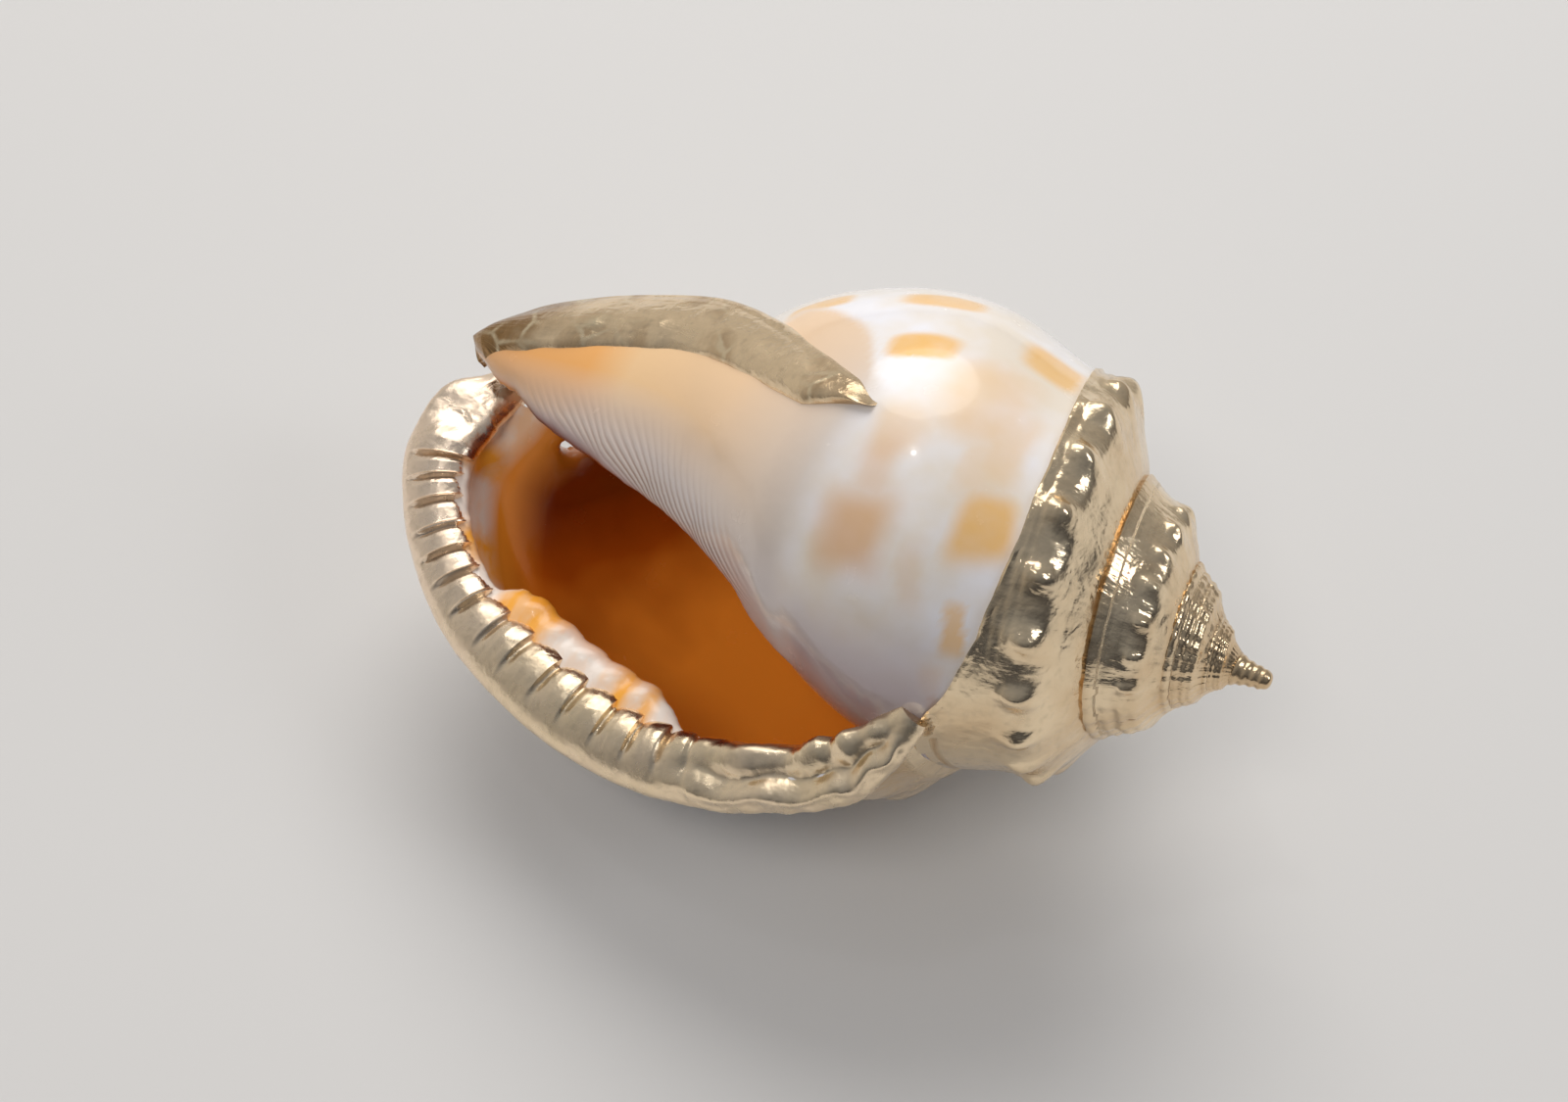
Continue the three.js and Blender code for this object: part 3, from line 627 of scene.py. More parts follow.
def chamber():
    """The hollow of the whorls, with a rounded section"""
    first, last = CHAMBER_TURNS
    n = np.linspace(first, last, 260)[:, None]
    depth = np.array([row[0] for row in CHAMBER])[None, :]
    radius = np.array([row[1] for row in CHAMBER])[None, :]
    shoulder = np.arange(len(CHAMBER)) < 3
    narrowed = along(FINE_PROFILE, depth) - profile_radius(n, depth)
    h, r = profile_point(n, depth, radius - narrowed * shoulder, SKIN * shoulder)
    h, r = np.broadcast_arrays(h, r)
    rings = []
    for turn, ring in zip(n[:, 0], np.stack([h, r], axis=-1)):
        closed = np.vstack([ring[-2:], ring, ring[:3]])
        shares = (2 + np.arange(64) * len(ring) / 64) / (len(closed) - 1)
        section = curve(closed, shares)
        rings.append(polar(turn, section[:, 0], np.maximum(section[:, 1], 0.2)))
    return loft(np.array(rings))


def outer_wall():
    """The last stretch of the whorl up to the lip, thicker towards it"""
    rings = []
    for depth in np.linspace(*WALL_DEPTHS, 90):
        edge = along(WALL_EDGE, depth)
        n = np.linspace(edge, WALL_TURN + WALL_BURIED, 40)
        near = 1 - smooth(n, edge, edge + WALL_NARROWS)
        plated = np.where(depth < plated_depth(n) - STEP_UNDER, SKIN, 0)
        inset = np.maximum(plated, LIP_INSET * near)
        thickness = WALL + (LIP_WALL - WALL) * near * smooth(depth, 0.1, 0.6)
        radius = profile_radius(n, depth)
        inner = np.minimum(thickness, INNERMOST * radius * shoulder_radius(n))
        outside = polar(n, *profile_point(n, depth, radius, inset))
        inside = polar(n, *profile_point(n, depth, radius, inner))
        rings.append(np.vstack([outside, inside[::-1]]))
    return loft(np.array(rings))


def bar(centre, side, up, width, height, turn):
    """A solid along a middle line, with a half width and a half height all round each section"""
    return loft(
        centre[:, None]
        + side[:, None] * (width * np.cos(turn))[..., None]
        + up[:, None] * (height * np.sin(turn))[..., None])


def lip_frame(shares):
    """Middle, outward direction and mouth-facing direction along the outer lip"""
    middle = curve(place(LIP), shares)
    forward = unit(np.gradient(middle, axis=0))
    out = middle - place(LIP_CENTRE)
    out = unit(out - forward * (out * forward).sum(axis=1, keepdims=True))
    face = unit(np.cross(out, forward))
    face[face[:, 1] < 0] *= -1
    return middle, forward, out, face


def lip_bar(stations, sides, inset, relief, first=0.0):
    """The rounded bar of the outer lip, with relief that depends on the share along it and the turn"""
    shares = np.linspace(first, 1, stations)
    middle, _, out, face = lip_frame(shares)
    width = evenly([row[3] for row in LIP], shares) - inset
    depth = evenly([row[4] for row in LIP], shares) - inset
    turn = np.linspace(0, 2 * np.pi, sides, endpoint=False)
    lift = relief(shares[:, None], turn[None, :])
    return bar(middle, out, face, width[:, None] + lift, depth[:, None] + lift, turn)


def tube(table, stations, sides):
    """A tube of round sections along a table of [h, w, v, radius]"""
    shares = np.linspace(0, 1, stations)
    centre = curve(place(table), shares)
    radius = evenly([row[3] for row in table], shares)[:, None]
    forward = unit(np.gradient(centre, axis=0))
    side = unit(np.cross([0, 0, 1], forward))
    turn = np.linspace(0, 2 * np.pi, sides, endpoint=False)
    return bar(centre, side, np.cross(forward, side), radius, radius, turn)


def shield_sheet(front, back, first, last, start, stations=170, across=64, crown=0.0):
    """The shield between two depths below its front, with a crown along its middle.
    first gives the share across it where it begins, and last how far it goes beyond its edge."""
    t = np.linspace(start, 1, stations)
    inner = curve(place(COLUMELLAR_EDGE), t)
    free = curve(place(FREE_EDGE), t)
    span = free - inner
    width = np.linalg.norm(span, axis=1)
    forward = unit(np.gradient(inner, axis=0) + np.gradient(free, axis=0))
    normal = unit(np.cross(forward, span))
    normal[normal[:, 1] < 0] *= -1
    begin = np.broadcast_to(first(t, width), t.shape)
    end = 1 + last(t) / width
    spread = (1 - np.cos(np.linspace(0, np.pi, across))) / 2
    u = begin[:, None] + (end - begin)[:, None] * spread
    from_edge = np.minimum((u - begin[:, None]), (end[:, None] - u)) * width[:, None]
    half = (front + back) / 2
    rounded = np.sqrt(np.maximum(half**2 - np.maximum(half - from_edge, 0) ** 2, 0))
    inward = np.clip(u, 0, 1)
    bulge = evenly(SHIELD_BULGE, t)[:, None] * 4 * inward * (1 - inward)
    middle = bulge + (front - back) / 2
    base = inner[:, None] + span[:, None] * u[..., None]
    arch = crown * np.sin(np.pi * spread) ** 2
    front_rows = base + normal[:, None] * (middle + rounded + arch)[..., None]
    back_rows = base + normal[:, None] * (middle - rounded)[..., None]
    return loft(np.hstack([front_rows, back_rows[:, -2:0:-1]]))


def shell_mesh(step):
    """The whole shell as one closed mesh in its own frame, in millimetres"""
    body = working("body", *body_whorls())
    tools = [
        ("DIFFERENCE", working("chamber", *chamber())),
        ("UNION", working("wall", *outer_wall())),
        ("UNION", working("lip", *lip_bar(420, 72, SKIN, core_relief, first=0.02))),
        ("UNION", working("teeth", *teeth_bar())),
        ("UNION", working("canal_floor", *tube(CANAL_FLOOR, 40, 28))),
        ("UNION", working("pillar", *tube(PILLAR, 60, 32))),
        ("UNION", working("shield", *shield_sheet(
            0, SHIELD_THICKNESS, lambda t, width: 0 * t, lambda t: 0 * t, SHIELD_START))),
        ("DIFFERENCE", working("canal", *tube(CANAL, 40, 24))),
    ]
    for operation, tool in tools:
        join_or_cut(body, operation, tool)
    remesh = body.modifiers.new("Surface", "REMESH")
    remesh.mode = "VOXEL"
    remesh.voxel_size = step
    mesh = baked(body)
    for _, tool in tools:
        bpy.data.objects.remove(tool)
    keep_largest(mesh)
    points, edges = arrays(mesh)
    points = relaxed(points, edges, SURFACE_SMOOTHING)
    set_points(mesh, points)
    even = relaxed(points, edges, CHAMBER_SMOOTHING)
    _, lip_gap = lip_place(points)
    _, _, miss = turn_and_depth(points)
    inner = smooth(miss, 1.2, 3.0) * smooth(lip_gap, 7, 11) * smooth(points[:, 2], -3, 1)
    set_points(mesh, points + (even - points) * inner[:, None])
    return mesh


def turn_and_depth(points):
    """Turn, depth and distance from the whorl's outside for points of the shell's own frame"""
    h, w, v = -points[:, 0], points[:, 1], points[:, 2]
    radius = np.hypot(w, v)
    base = ((np.degrees(np.arctan2(v, w)) - LIP_ANGLE) / 360) % 1
    best = np.full(len(points), np.inf)
    turn = np.zeros(len(points))
    depth = np.zeros(len(points))
    for whorl in (-1, 0, 1, 2):
        n = base + whorl
        d = (h - shoulder_depth(n)) / shoulder_radius(n)
        miss = np.abs(profile_radius(n, np.clip(d, SUTURE[0], 2.15)) * shoulder_radius(n) - radius)
        miss = np.where((n < -0.06) | (d < -0.25) | (d > 2.2), np.inf, miss)
        better = miss < best
        best = np.where(better, miss, best)
        turn = np.where(better, n, turn)
        depth = np.where(better, d, depth)
    return turn, depth, best


def marks_at(turn, depth, marks):
    """Strength of soft rectangles on the whorl"""
    total = np.zeros(len(turn))
    for n, d, half_turn, half_depth, strength, softness in marks:
        across = np.abs(turn - n - MARK_SKEW * (depth - d)) / half_turn
        down = np.abs(depth - d) / half_depth
        out = (across**4 + down**4) ** 0.25
        total = np.maximum(total, strength * (1 - smooth(out, 1 - 0.6 * softness, 1 + 0.75 * softness)))
    return total


def hidden_marks():
    """Square marks in bands on the side that lies on the table"""
    chance = np.random.default_rng(7)
    marks = []
    for band, depth in enumerate(HIDDEN_BANDS):
        for n in np.arange(HIDDEN_TURNS[0] + 0.037 * (band % 2), HIDDEN_TURNS[1], HIDDEN_STEP):
            shift, grow, strength = chance.uniform([-0.008, 0.8, 0.6], [0.008, 1.2, 1.0])
            marks.append((n + shift, depth, 0.016 * grow, 0.13 * grow, strength, 0.45))
    return marks


def nearest(points, measure):
    """The station with the least measure for each point, and that measure"""
    stations, least = [], []
    for start in range(0, len(points), SEARCH_AT_ONCE):
        gaps = measure(points[start:start + SEARCH_AT_ONCE, None])
        stations.append(np.argmin(gaps, axis=1))
        least.append(gaps.min(axis=1))
    return np.concatenate(stations), np.concatenate(least)


def shield_place(points):
    """Share along the shield, share across it and distance from its front, for each point"""
    t = np.linspace(0, 1, SHIELD_STATIONS)
    inner, free = curve(place(COLUMELLAR_EDGE), t), curve(place(FREE_EDGE), t)
    middle = (inner + free) / 2
    slope = np.gradient(middle, t, axis=0)
    forward = unit(slope)

    def measure(some):
        off = np.abs(((some - middle) * forward).sum(axis=2))
        return off + 0.05 * np.linalg.norm(some - middle, axis=2)

    near, _ = nearest(points, measure)
    off = ((points - middle[near]) * forward[near]).sum(axis=1)
    share = t[near] + np.clip(off / np.linalg.norm(slope[near], axis=1), -0.01, 0.01)
    share = np.clip(share, 0, 1)
    a, b = curve(place(COLUMELLAR_EDGE), share), curve(place(FREE_EDGE), share)
    span = b - a
    length = np.linalg.norm(span, axis=1)
    across = ((points - a) * span).sum(axis=1) / length**2
    forward = unit(np.gradient(inner, axis=0) + np.gradient(free, axis=0))[near]
    normal = unit(np.cross(forward, span))
    normal[normal[:, 1] < 0] *= -1
    inward = np.clip(across, 0, 1)
    bulge = evenly(SHIELD_BULGE, share) * 4 * inward * (1 - inward)
    height = ((points - a) * normal).sum(axis=1) - bulge
    return share, across, height


def lip_place(points):
    """Share along the lip and distance from its middle line, for each point"""
    shares = np.linspace(0, 1, LIP_STATIONS)
    middle = curve(place(LIP), shares)
    near, away = nearest(points, lambda some: np.linalg.norm(some - middle, axis=2))
    return shares[near], away


def fold_at(share):
    """Place within a fold of the lip, from 0 to 1, and how strong the folds are there"""
    place_in = np.interp(share, CRESTS, np.arange(len(CRESTS))) % 1
    return place_in, smooth(share, 0.27, 0.32) * (1 - smooth(share, 0.825, 0.845))


def fold_height(share):
    """Height of the folds of the lip, rounded by the suture and sharp towards the canal"""
    place_in, strength = fold_at(share)
    sharp = smooth(share, 0.5, 0.64)
    height = along(ROUND_FOLD, place_in) * (1 - sharp) + along(SHARP_FOLD, place_in) * sharp
    return FOLD_HEIGHT * strength * height


def plating_edge(share):
    """Angle round the lip's bar, in degrees, where the plating ends on the mouth side"""
    place_in, strength = fold_at(share)
    return along(PLATING_REACH, share) + 9 * strength * along(FOLD_EDGE, place_in)


def bare_lip(share, turn):
    """How bare the bar of the lip is, from 0 under the plating to 1"""
    degrees = np.degrees(turn) + 0 * share
    edge = plating_edge(share)
    return smooth(degrees, edge, edge + 5) * (1 - smooth(degrees, PLATING_BACK - 5, PLATING_BACK))


def spoon(share, degrees):
    """The hollow face and raised rim of the lip's end beside the canal"""
    strength = smooth(share, 0.84, 0.9)
    hollow = -1.1 * np.exp(-(((degrees - 100) / 42) ** 2))
    rim = 0.5 * np.exp(-(((degrees - 35) / 16) ** 2))
    around = np.minimum(degrees, 360 - degrees)
    lowered = -2.3 * smooth(share, 0.915, 0.985) * np.exp(-((around / 60) ** 2))
    return strength * (hollow + rim) + lowered


def core_relief(share, turn):
    """The shell's own bar, which comes up beside the plating"""
    degrees = np.degrees(turn) + 0 * share
    facing = smooth(degrees, 95, 140) * (1 - smooth(degrees, 200, 240))
    bare = bare_lip(share, turn) * (SKIN - PLATING_STANDS + fold_height(share) * facing)
    return bare + spoon(share, degrees)


def teeth_bar(stations=260, sides=40):
    """The rounded teeth along the inside of the lip, from the suture side to its middle"""
    start, full, fading, end = TEETH
    shares = np.linspace(start, end, stations)
    middle, _, out, face = lip_frame(shares)
    grown = smooth(shares, start, full) * (1 - smooth(shares, fading, end))
    turn = np.linspace(0, 2 * np.pi, sides, endpoint=False)
    inward = (1 - np.cos(turn)) / 2
    place_in, _ = fold_at(shares[:, None] + 0.03 * inward[None, :])
    scallop = TEETH_HEIGHT * (along(ROUND_FOLD, place_in) - 0.5) * grown[:, None] * inward
    centre = middle - out * (TEETH_IN * grown)[:, None] - face * TEETH_DOWN
    width = (0.5 + 3.1 * grown)[:, None] + scallop
    depth = (0.5 + 1.7 * grown)[:, None] + scallop
    return bar(centre, out, face, width, depth, turn)


def beside_lip(points, normals, lip_share, lip_gap):
    """How far each point is on the floor of the mouth, inboard of the lip"""
    middle, _, out, _ = lip_frame(np.linspace(0, 1, LIP_STATIONS))
    near = np.round(lip_share * (LIP_STATIONS - 1)).astype(int)
    beyond = ((points - middle[near]) * out[near]).sum(axis=1)
    facing = smooth(normals[:, 1], -0.1, 0.2) * smooth(lip_share, 0.3, 0.4)
    beside = facing * (1 - smooth(beyond, -1.5, 0.5)) * (1 - smooth(lip_gap, 11, 15))
    h, w, v = -points[:, 0], points[:, 1], points[:, 2]
    canal = smooth(h, 80, 84) * smooth(normals[:, 1], 0.1, 0.35) * (1 - smooth(w, 0, 3))
    return np.maximum(beside, canal * smooth(v, -6, -3))


def inside_mask(points, normals, outside, on_shield):
    """How far each point belongs to the chamber and the inside of the mouth"""
    h, w, v = -points[:, 0], points[:, 1], points[:, 2]
    behind = smooth(h, 84, 90) * (1 - smooth(v, 0, 5)) * (1 - smooth(w, -6, -3))
    behind = np.maximum(behind, smooth(h, 84, 88) * (1 - smooth(normals[:, 1], -0.5, -0.1)))
    return (1 - outside) * (1 - on_shield) * smooth(v, -6.5, -3) * (1 - 0.8 * behind)


def glaze_shell(mesh):
    """The masks that colour the shell and shape the fine relief of its shield's wrinkles"""
    points, _ = arrays(mesh)
    normals = normals_of(mesh)
    turn, depth, miss = turn_and_depth(points)
    share, across, height = shield_place(points)
    lip_share, lip_gap = lip_place(points)
    outward = (normals[:, 1:] * unit(points[:, 1:] + 1e-9)).sum(axis=1)
    outside = (1 - smooth(miss, 0.9, 2.2)) * smooth(outward, -0.1, 0.25)
    outside *= 1 - beside_lip(points, normals, lip_share, lip_gap)
    on_shield = smooth(share, 0.02, 0.1) * (1 - smooth(np.abs(height), 1.0, 2.0))
    on_shield *= smooth(across, 0.0, 0.1) * smooth(normals[:, 1], -0.1, 0.2)
    shown = outside * (1 - on_shield)

    shift = 0.005 * lumps(points, 6, 5)
    drift = 0.06 * lumps(points, 6, 6)
    tan = marks_at(turn + shift, depth + drift, TAN_MARKS + hidden_marks())
    brown = marks_at(turn + shift, depth + drift, BROWN_MARKS)
    set_mask(mesh, "tan", tan * shown)
    set_mask(mesh, "brown", brown * shown)
    parietal = smooth(turn, 0.84, 0.93) * (1 - smooth(turn, 1.06, 1.1)) * shown
    set_mask(mesh, "parietal", parietal * smooth(depth, 0.2, 0.6))
    set_mask(mesh, "shield", on_shield)
    set_mask(mesh, "shield_share", share)
    set_mask(mesh, "shield_across", np.clip(across, 0, 1))
    set_mask(mesh, "fan", share + WRINKLE_FAN / np.maximum(across, 0.1))
    wrinkled = smooth(share, 0.1, 0.2) * (1 - smooth(share + 0.35 * across, 0.74, 0.9))
    wrinkled *= 1 - smooth(across, 0.22, 0.46)
    set_mask(mesh, "wrinkled", wrinkled * on_shield)
    set_mask(mesh, "chamber", inside_mask(points, normals, outside, on_shield))
    set_mask(mesh, "from_lip", lip_gap)
    set_mask(mesh, "from_axis", np.hypot(points[:, 1], points[:, 2]))
    set_mask(mesh, "lip_orange", along(LIP_ORANGE, lip_share))


def connect(tree, node, inputs):
    """Values or links on a node's sockets, by name or number"""
    for name, value in inputs.items():
        socket = node.inputs[name]
        if isinstance(value, bpy.types.NodeSocket):
            tree.links.new(value, socket)
        else:
            socket.default_value = value


def add(tree, kind, inputs, **settings):
    """A shader node with its settings, and values or links on its sockets"""
    made = tree.nodes.new(kind)
    for name, value in settings.items():
        setattr(made, name, value)
    connect(tree, made, inputs)
    return made


def rgba(colour):
    return colour if isinstance(colour, bpy.types.NodeSocket) else (*colour, 1.0)


def mask(tree, name):
    return add(tree, "ShaderNodeAttribute", {}, attribute_name=name).outputs["Fac"]


def blend(tree, share, low, high):
    """One colour mixed from two. The colours of a mix node are its sockets 6 and 7, and its result is 2."""
    made = add(tree, "ShaderNodeMix", {}, data_type="RGBA")
    connect(tree, made, {0: share, 6: rgba(low), 7: rgba(high)})
    return made.outputs[2]


def remap(tree, value, low, high, to_low=0.0, to_high=1.0):
    made = add(tree, "ShaderNodeMapRange", {
        "Value": value, "From Min": low, "From Max": high, "To Min": to_low, "To Max": to_high})
    return made.outputs["Result"]


def times(tree, first, second, operation="MULTIPLY"):
    return add(tree, "ShaderNodeMath", {0: first, 1: second}, operation=operation).outputs[0]


def cloud(tree, size, detail=3.0, stretch=(1, 1, 1), distortion=0.0):
    """Noise with features of a size in millimetres"""
    where = add(tree, "ShaderNodeTexCoord", {}).outputs["Object"]
    scaled = add(tree, "ShaderNodeMapping", {"Vector": where, "Scale": stretch}).outputs[0]
    return add(tree, "ShaderNodeTexNoise", {
        "Vector": scaled, "Scale": 1000 / size, "Detail": detail, "Distortion": distortion,
    }).outputs["Fac"]


def new_material(name):
    material = bpy.data.materials.new(name)
    material.use_nodes = True
    tree = material.node_tree
    return material, tree, tree.nodes["Principled BSDF"]


def ramp(tree, value, *stops):
    """A colour ramp through [position, colour]"""
    made = add(tree, "ShaderNodeValToRGB", {"Fac": value})
    elements = made.color_ramp.elements
    elements[0].position, elements[0].color = stops[0][0], rgba(stops[0][1])
    elements[1].position, elements[1].color = stops[-1][0], rgba(stops[-1][1])
    for position, colour in stops[1:-1]:
        elements.new(position).color = rgba(colour)
    return made.outputs[0]


def wave(tree, value, turns, wobble):
    """A sine from 0 to 1 along a value, with its phase shifted by noise"""
    phase = times(tree, times(tree, value, 2 * math.pi * turns), wobble, "ADD")
    return remap(tree, times(tree, phase, 0, "SINE"), -1, 1)


def body_colour(tree, settings):
    soft = remap(tree, cloud(tree, 9), 0.35, 0.65)
    white = blend(tree, soft, settings.white, CREAM)
    patchy = remap(tree, cloud(tree, 5), 0.2, 0.8, 0.75, 1.1)
    colour = blend(tree, times(tree, mask(tree, "tan"), patchy), white, settings.tan)
    colour = blend(tree, mask(tree, "brown"), colour, BROWN_MARK)
    return blend(tree, mask(tree, "parietal"), colour, SHADED_BODY)


def shield_colour(tree, lines):
    """Peach by the plating, orange towards the tip, and pale with brown lines where it wrinkles"""
    across = mask(tree, "shield_across")
    outer = ramp(tree, mask(tree, "shield_share"), *FREE_SIDE)
    inner = ramp(tree, mask(tree, "shield_share"), *MOUTH_SIDE)
    colour = blend(tree, remap(tree, across, 0.3, 0.52), inner, outer)
    line = times(tree, mask(tree, "wrinkled"), remap(tree, lines, 0.05, 0.5, 0.6, 0))
    line = times(tree, line, remap(tree, across, 0.18, 0.34, 1.3, 0.35))
    return blend(tree, line, colour, WRINKLE_BROWN)


def chamber_colour(tree, settings):
    """Banded by the lip, then amber, and dark brown by the columella, partly the shell's own colour and
    partly painted shade under the shield
    """
    streaks = remap(tree, cloud(tree, 2.4, stretch=(1, 0.3, 1)), 0.4, 0.6, -0.15, 0.15)
    banded = times(tree, mask(tree, "lip_orange"), streaks, "ADD")
    lip = blend(tree, banded, LIP_WHITE, LIP_AMBER)
    # Darker towards the coil's axis: partly the shell's brown and partly painted shade by the columella and
    # the shield
    depth = times(tree, mask(tree, "from_axis"), remap(tree, cloud(tree, 12, 2), 0, 1, -5, 5), "ADD")
    deep = ramp(tree, remap(tree, depth, 10, 32), *CHAMBER_BROWN_AND_SHADE, (0.85, tuple(settings.amber)))
    near = blend(tree, remap(tree, mask(tree, "from_lip"), 9, 14), BEHIND_LIP, deep)
    return blend(tree, remap(tree, mask(tree, "from_lip"), 6, 8.4), lip, near)


def shell_material(settings):
    material, tree, shader = new_material("glossy_shell")
    wobble = times(tree, cloud(tree, 14, 1), WRINKLE_WOBBLE)
    lines = wave(tree, mask(tree, "fan"), WRINKLES, wobble)
    colour = blend(tree, mask(tree, "shield"), body_colour(tree, settings),
                   shield_colour(tree, lines))
    colour = blend(tree, mask(tree, "chamber"), colour, chamber_colour(tree, settings))
    # Painted glow: the chamber's own colours given off as light, in place of light through its thin wall
    painted_glow = blend(tree, mask(tree, "chamber"), (0, 0, 0), chamber_colour(tree, settings))
    rough = remap(tree, cloud(tree, 4, 4), 0.3, 0.7, 0.16, 0.28)
    grain = times(tree, cloud(tree, 3, 2), 0.4)
    ridges = times(tree, times(tree, lines, mask(tree, "wrinkled")), 0.9)
    bump = add(tree, "ShaderNodeBump", {
        "Height": times(tree, grain, ridges, "ADD"), "Distance": 0.00016, "Strength": 0.7})
    coat = remap(tree, mask(tree, "chamber"), 0, 1, 0.6, 0.15)
    connect(tree, shader, {
        "Base Color": colour, "Roughness": rough, "IOR": 1.55, "Normal": bump.outputs[0],
        "Coat Weight": coat, "Coat Roughness": 0.05,
        "Emission Color": painted_glow, "Emission Strength": PAINTED_GLOW})
    return material


def crackled(tree, colour, stain):
    """Fine gold lines between uneven cells, where the metal is stained"""
    where = add(tree, "ShaderNodeTexCoord", {}).outputs["Object"]
    shift = add(tree, "ShaderNodeTexNoise", {"Vector": where, "Scale": 400.0, "Detail": 4.0})
    bent = add(tree, "ShaderNodeMixRGB", {
        "Fac": 0.0015, "Color1": where, "Color2": shift.outputs["Color"]})
    cells = add(tree, "ShaderNodeTexVoronoi", {
        "Vector": bent.outputs[0], "Scale": 1 / CRACKLE_CELL}, feature="DISTANCE_TO_EDGE")
    line = remap(tree, cells.outputs["Distance"], 0.02, 0.09, 0.9, 0)
    return blend(tree, times(tree, line, stain), colour, CRACKLE_GOLD)


def streaks(tree):
    """Fine lines that follow the piece, by its across_streak and along_streak masks"""
    way = add(tree, "ShaderNodeCombineXYZ", {
        "X": mask(tree, "across_streak"), "Y": mask(tree, "along_streak")}).outputs[0]
    return add(tree, "ShaderNodeTexNoise", {
        "Vector": way, "Scale": 1.0, "Detail": 3.0}).outputs["Fac"]


def plating_material(name, ground, tint, tint_mask, rough, pit, streak=0.0, crackle=False):
    """Plated metal with stains, satin patches and pits"""
    material, tree, shader = new_material(name)
    stain = remap(tree, cloud(tree, 7, 5, distortion=0.6), 0.42, 0.72)
    colour = blend(tree, times(tree, stain, 0.8 if crackle else 0.45), ground, tint)
    colour = blend(tree, mask(tree, tint_mask), colour, tint)
    specks = remap(tree, cloud(tree, 1.1, 6), 0.52, 0.75)
    colour = blend(tree, times(tree, specks, 0.35), colour, tuple(SPECK_SHADE * c for c in ground))
    if crackle:
        colour = crackled(tree, colour, stain)
    satin = remap(tree, cloud(tree, 3.5, 6, distortion=0.8), 0.35, 0.7, *rough)
    broad = cloud(tree, 3.0, 2, distortion=0.5)
    small = times(tree, cloud(tree, 0.6, 4), 0.22)
    height = times(tree, broad, small, "ADD")
    if streak:
        height = times(tree, height, times(tree, streaks(tree), streak), "ADD")
    bump = add(tree, "ShaderNodeBump", {"Height": height, "Distance": pit, "Strength": 0.6})
    connect(tree, shader, {
        "Base Color": colour, "Metallic": 1.0, "Roughness": satin, "Normal": bump.outputs[0]})
    return material


def spire_relief(n, share, depth, strengths):
    """Height of the nodules, cords and edge bead of the plated spire, in millimetres"""
    scale = shoulder_radius(n)
    turn = NODULES * n
    which = np.clip(np.round(turn).astype(int), 0, len(strengths) - 1)
    ridge = (0.5 + 0.5 * np.cos(2 * np.pi * turn)) ** NODULE_SHARPNESS * strengths[which]
    reach = np.where(depth > 0.03, 0.10, 0.08)
    young = 1 - smooth(n, 1.7, 2.1)
    nodule = NODULE_HEIGHT * scale * ridge * np.exp(-(((depth - 0.03) / reach) ** 2))
    nodule *= smooth(n, 0.02, NODULES_FADE) * (0.3 + 0.7 * young)
    below = smooth(depth, 0.08, 0.14)
    cords = CORD_HEIGHT * scale * np.cos(2 * np.pi * depth / CORD_SPACING) * below * young
    lattice = scale * (1 - young) * (
        0.014 * np.cos(2 * np.pi * share * 4.5) + 0.010 * np.cos(2 * np.pi * turn * 1.5))
    edge = np.where(n < 1, 1 - smooth(n, 0.93, 1), 0)
    rim = 0.2 * np.exp(-(((share - 0.975) / 0.02) ** 2)) * edge
    suture = -0.02 * scale * np.exp(-((share / 0.05) ** 2))
    return nodule + cords + lattice + rim + suture


def spire_tip():
    """The rounded tip of the plated spire, with a thread round it"""
    section = curve([(h, r, 0) for h, r in APEX], np.linspace(0, 1, 40))
    depth = section[:, :1]
    turn = np.linspace(0, 2 * np.pi, 40, endpoint=False)
    height, pitch = APEX_THREAD
    thread = height * smooth(depth, 0.3, 1.2)
    radius = section[:, 1:2] + thread * np.cos(2 * np.pi * depth / pitch - turn)
    rings = np.stack(np.broadcast_arrays(
        -depth, radius * np.cos(turn), radius * np.sin(turn)), axis=-1)
    return mesh_from("tip", *loft(rings))


def plated_spire_mesh():
    """The plated skin over the spire, with its nodules, cords and rounded tip"""
    strengths = np.random.default_rng(3).uniform(0.75, 1.2, 100)

    def side(n, share):
        fade = 1 - smooth(n, 0, LEAD_FADE)
        _, _, depth = whorl_side(n, share, -COAT_RISE)
        moved = n + fade * along(LIP_LEAD, depth)
        h, r, depth = whorl_side(moved, share, -COAT_RISE)
        return polar(moved, h, r + spire_relief(moved, share, depth, strengths))

    points, faces = coil(0.0, WHORLS, 240, 30, side, APEX[-4][0])
    bumpy = 0.08 * lumps(points, 2.2) + 0.06 * lumps(points, 1.0, 3)
    points = points + unit(points) * bumpy[:, None]
    skin = working("skin", points, faces)
    thick = skin.modifiers.new("Sheet", "SOLIDIFY")
    thick.thickness = SHEET
    thick.offset = -1
    mesh = baked(skin)
    work = bmesh.new()
    work.from_mesh(mesh)
    tip = spire_tip()
    work.from_mesh(tip)
    bpy.data.meshes.remove(tip)
    work.to_mesh(mesh)
    work.free()
    return mesh


def spire_masks(mesh):
    points, _ = arrays(mesh)
    turn, depth, _ = turn_and_depth(points)
    crevice = np.exp(-np.abs(depth - SUTURE[0]) / 0.025)
    # Stain in the sutures and towards the tip, plus painted shadow on the plating just behind the lip
    stain_and_shadow = 0.5 * crevice + 0.3 * smooth(turn, 2.0, 3.0) + 0.5 * (1 - smooth(turn, 0.0, 0.09))
    set_mask(mesh, "crevice", np.clip(stain_and_shadow, 0, 1))
    set_mask(mesh, "across_streak", turn * 110)
    set_mask(mesh, "along_streak", depth * 5)


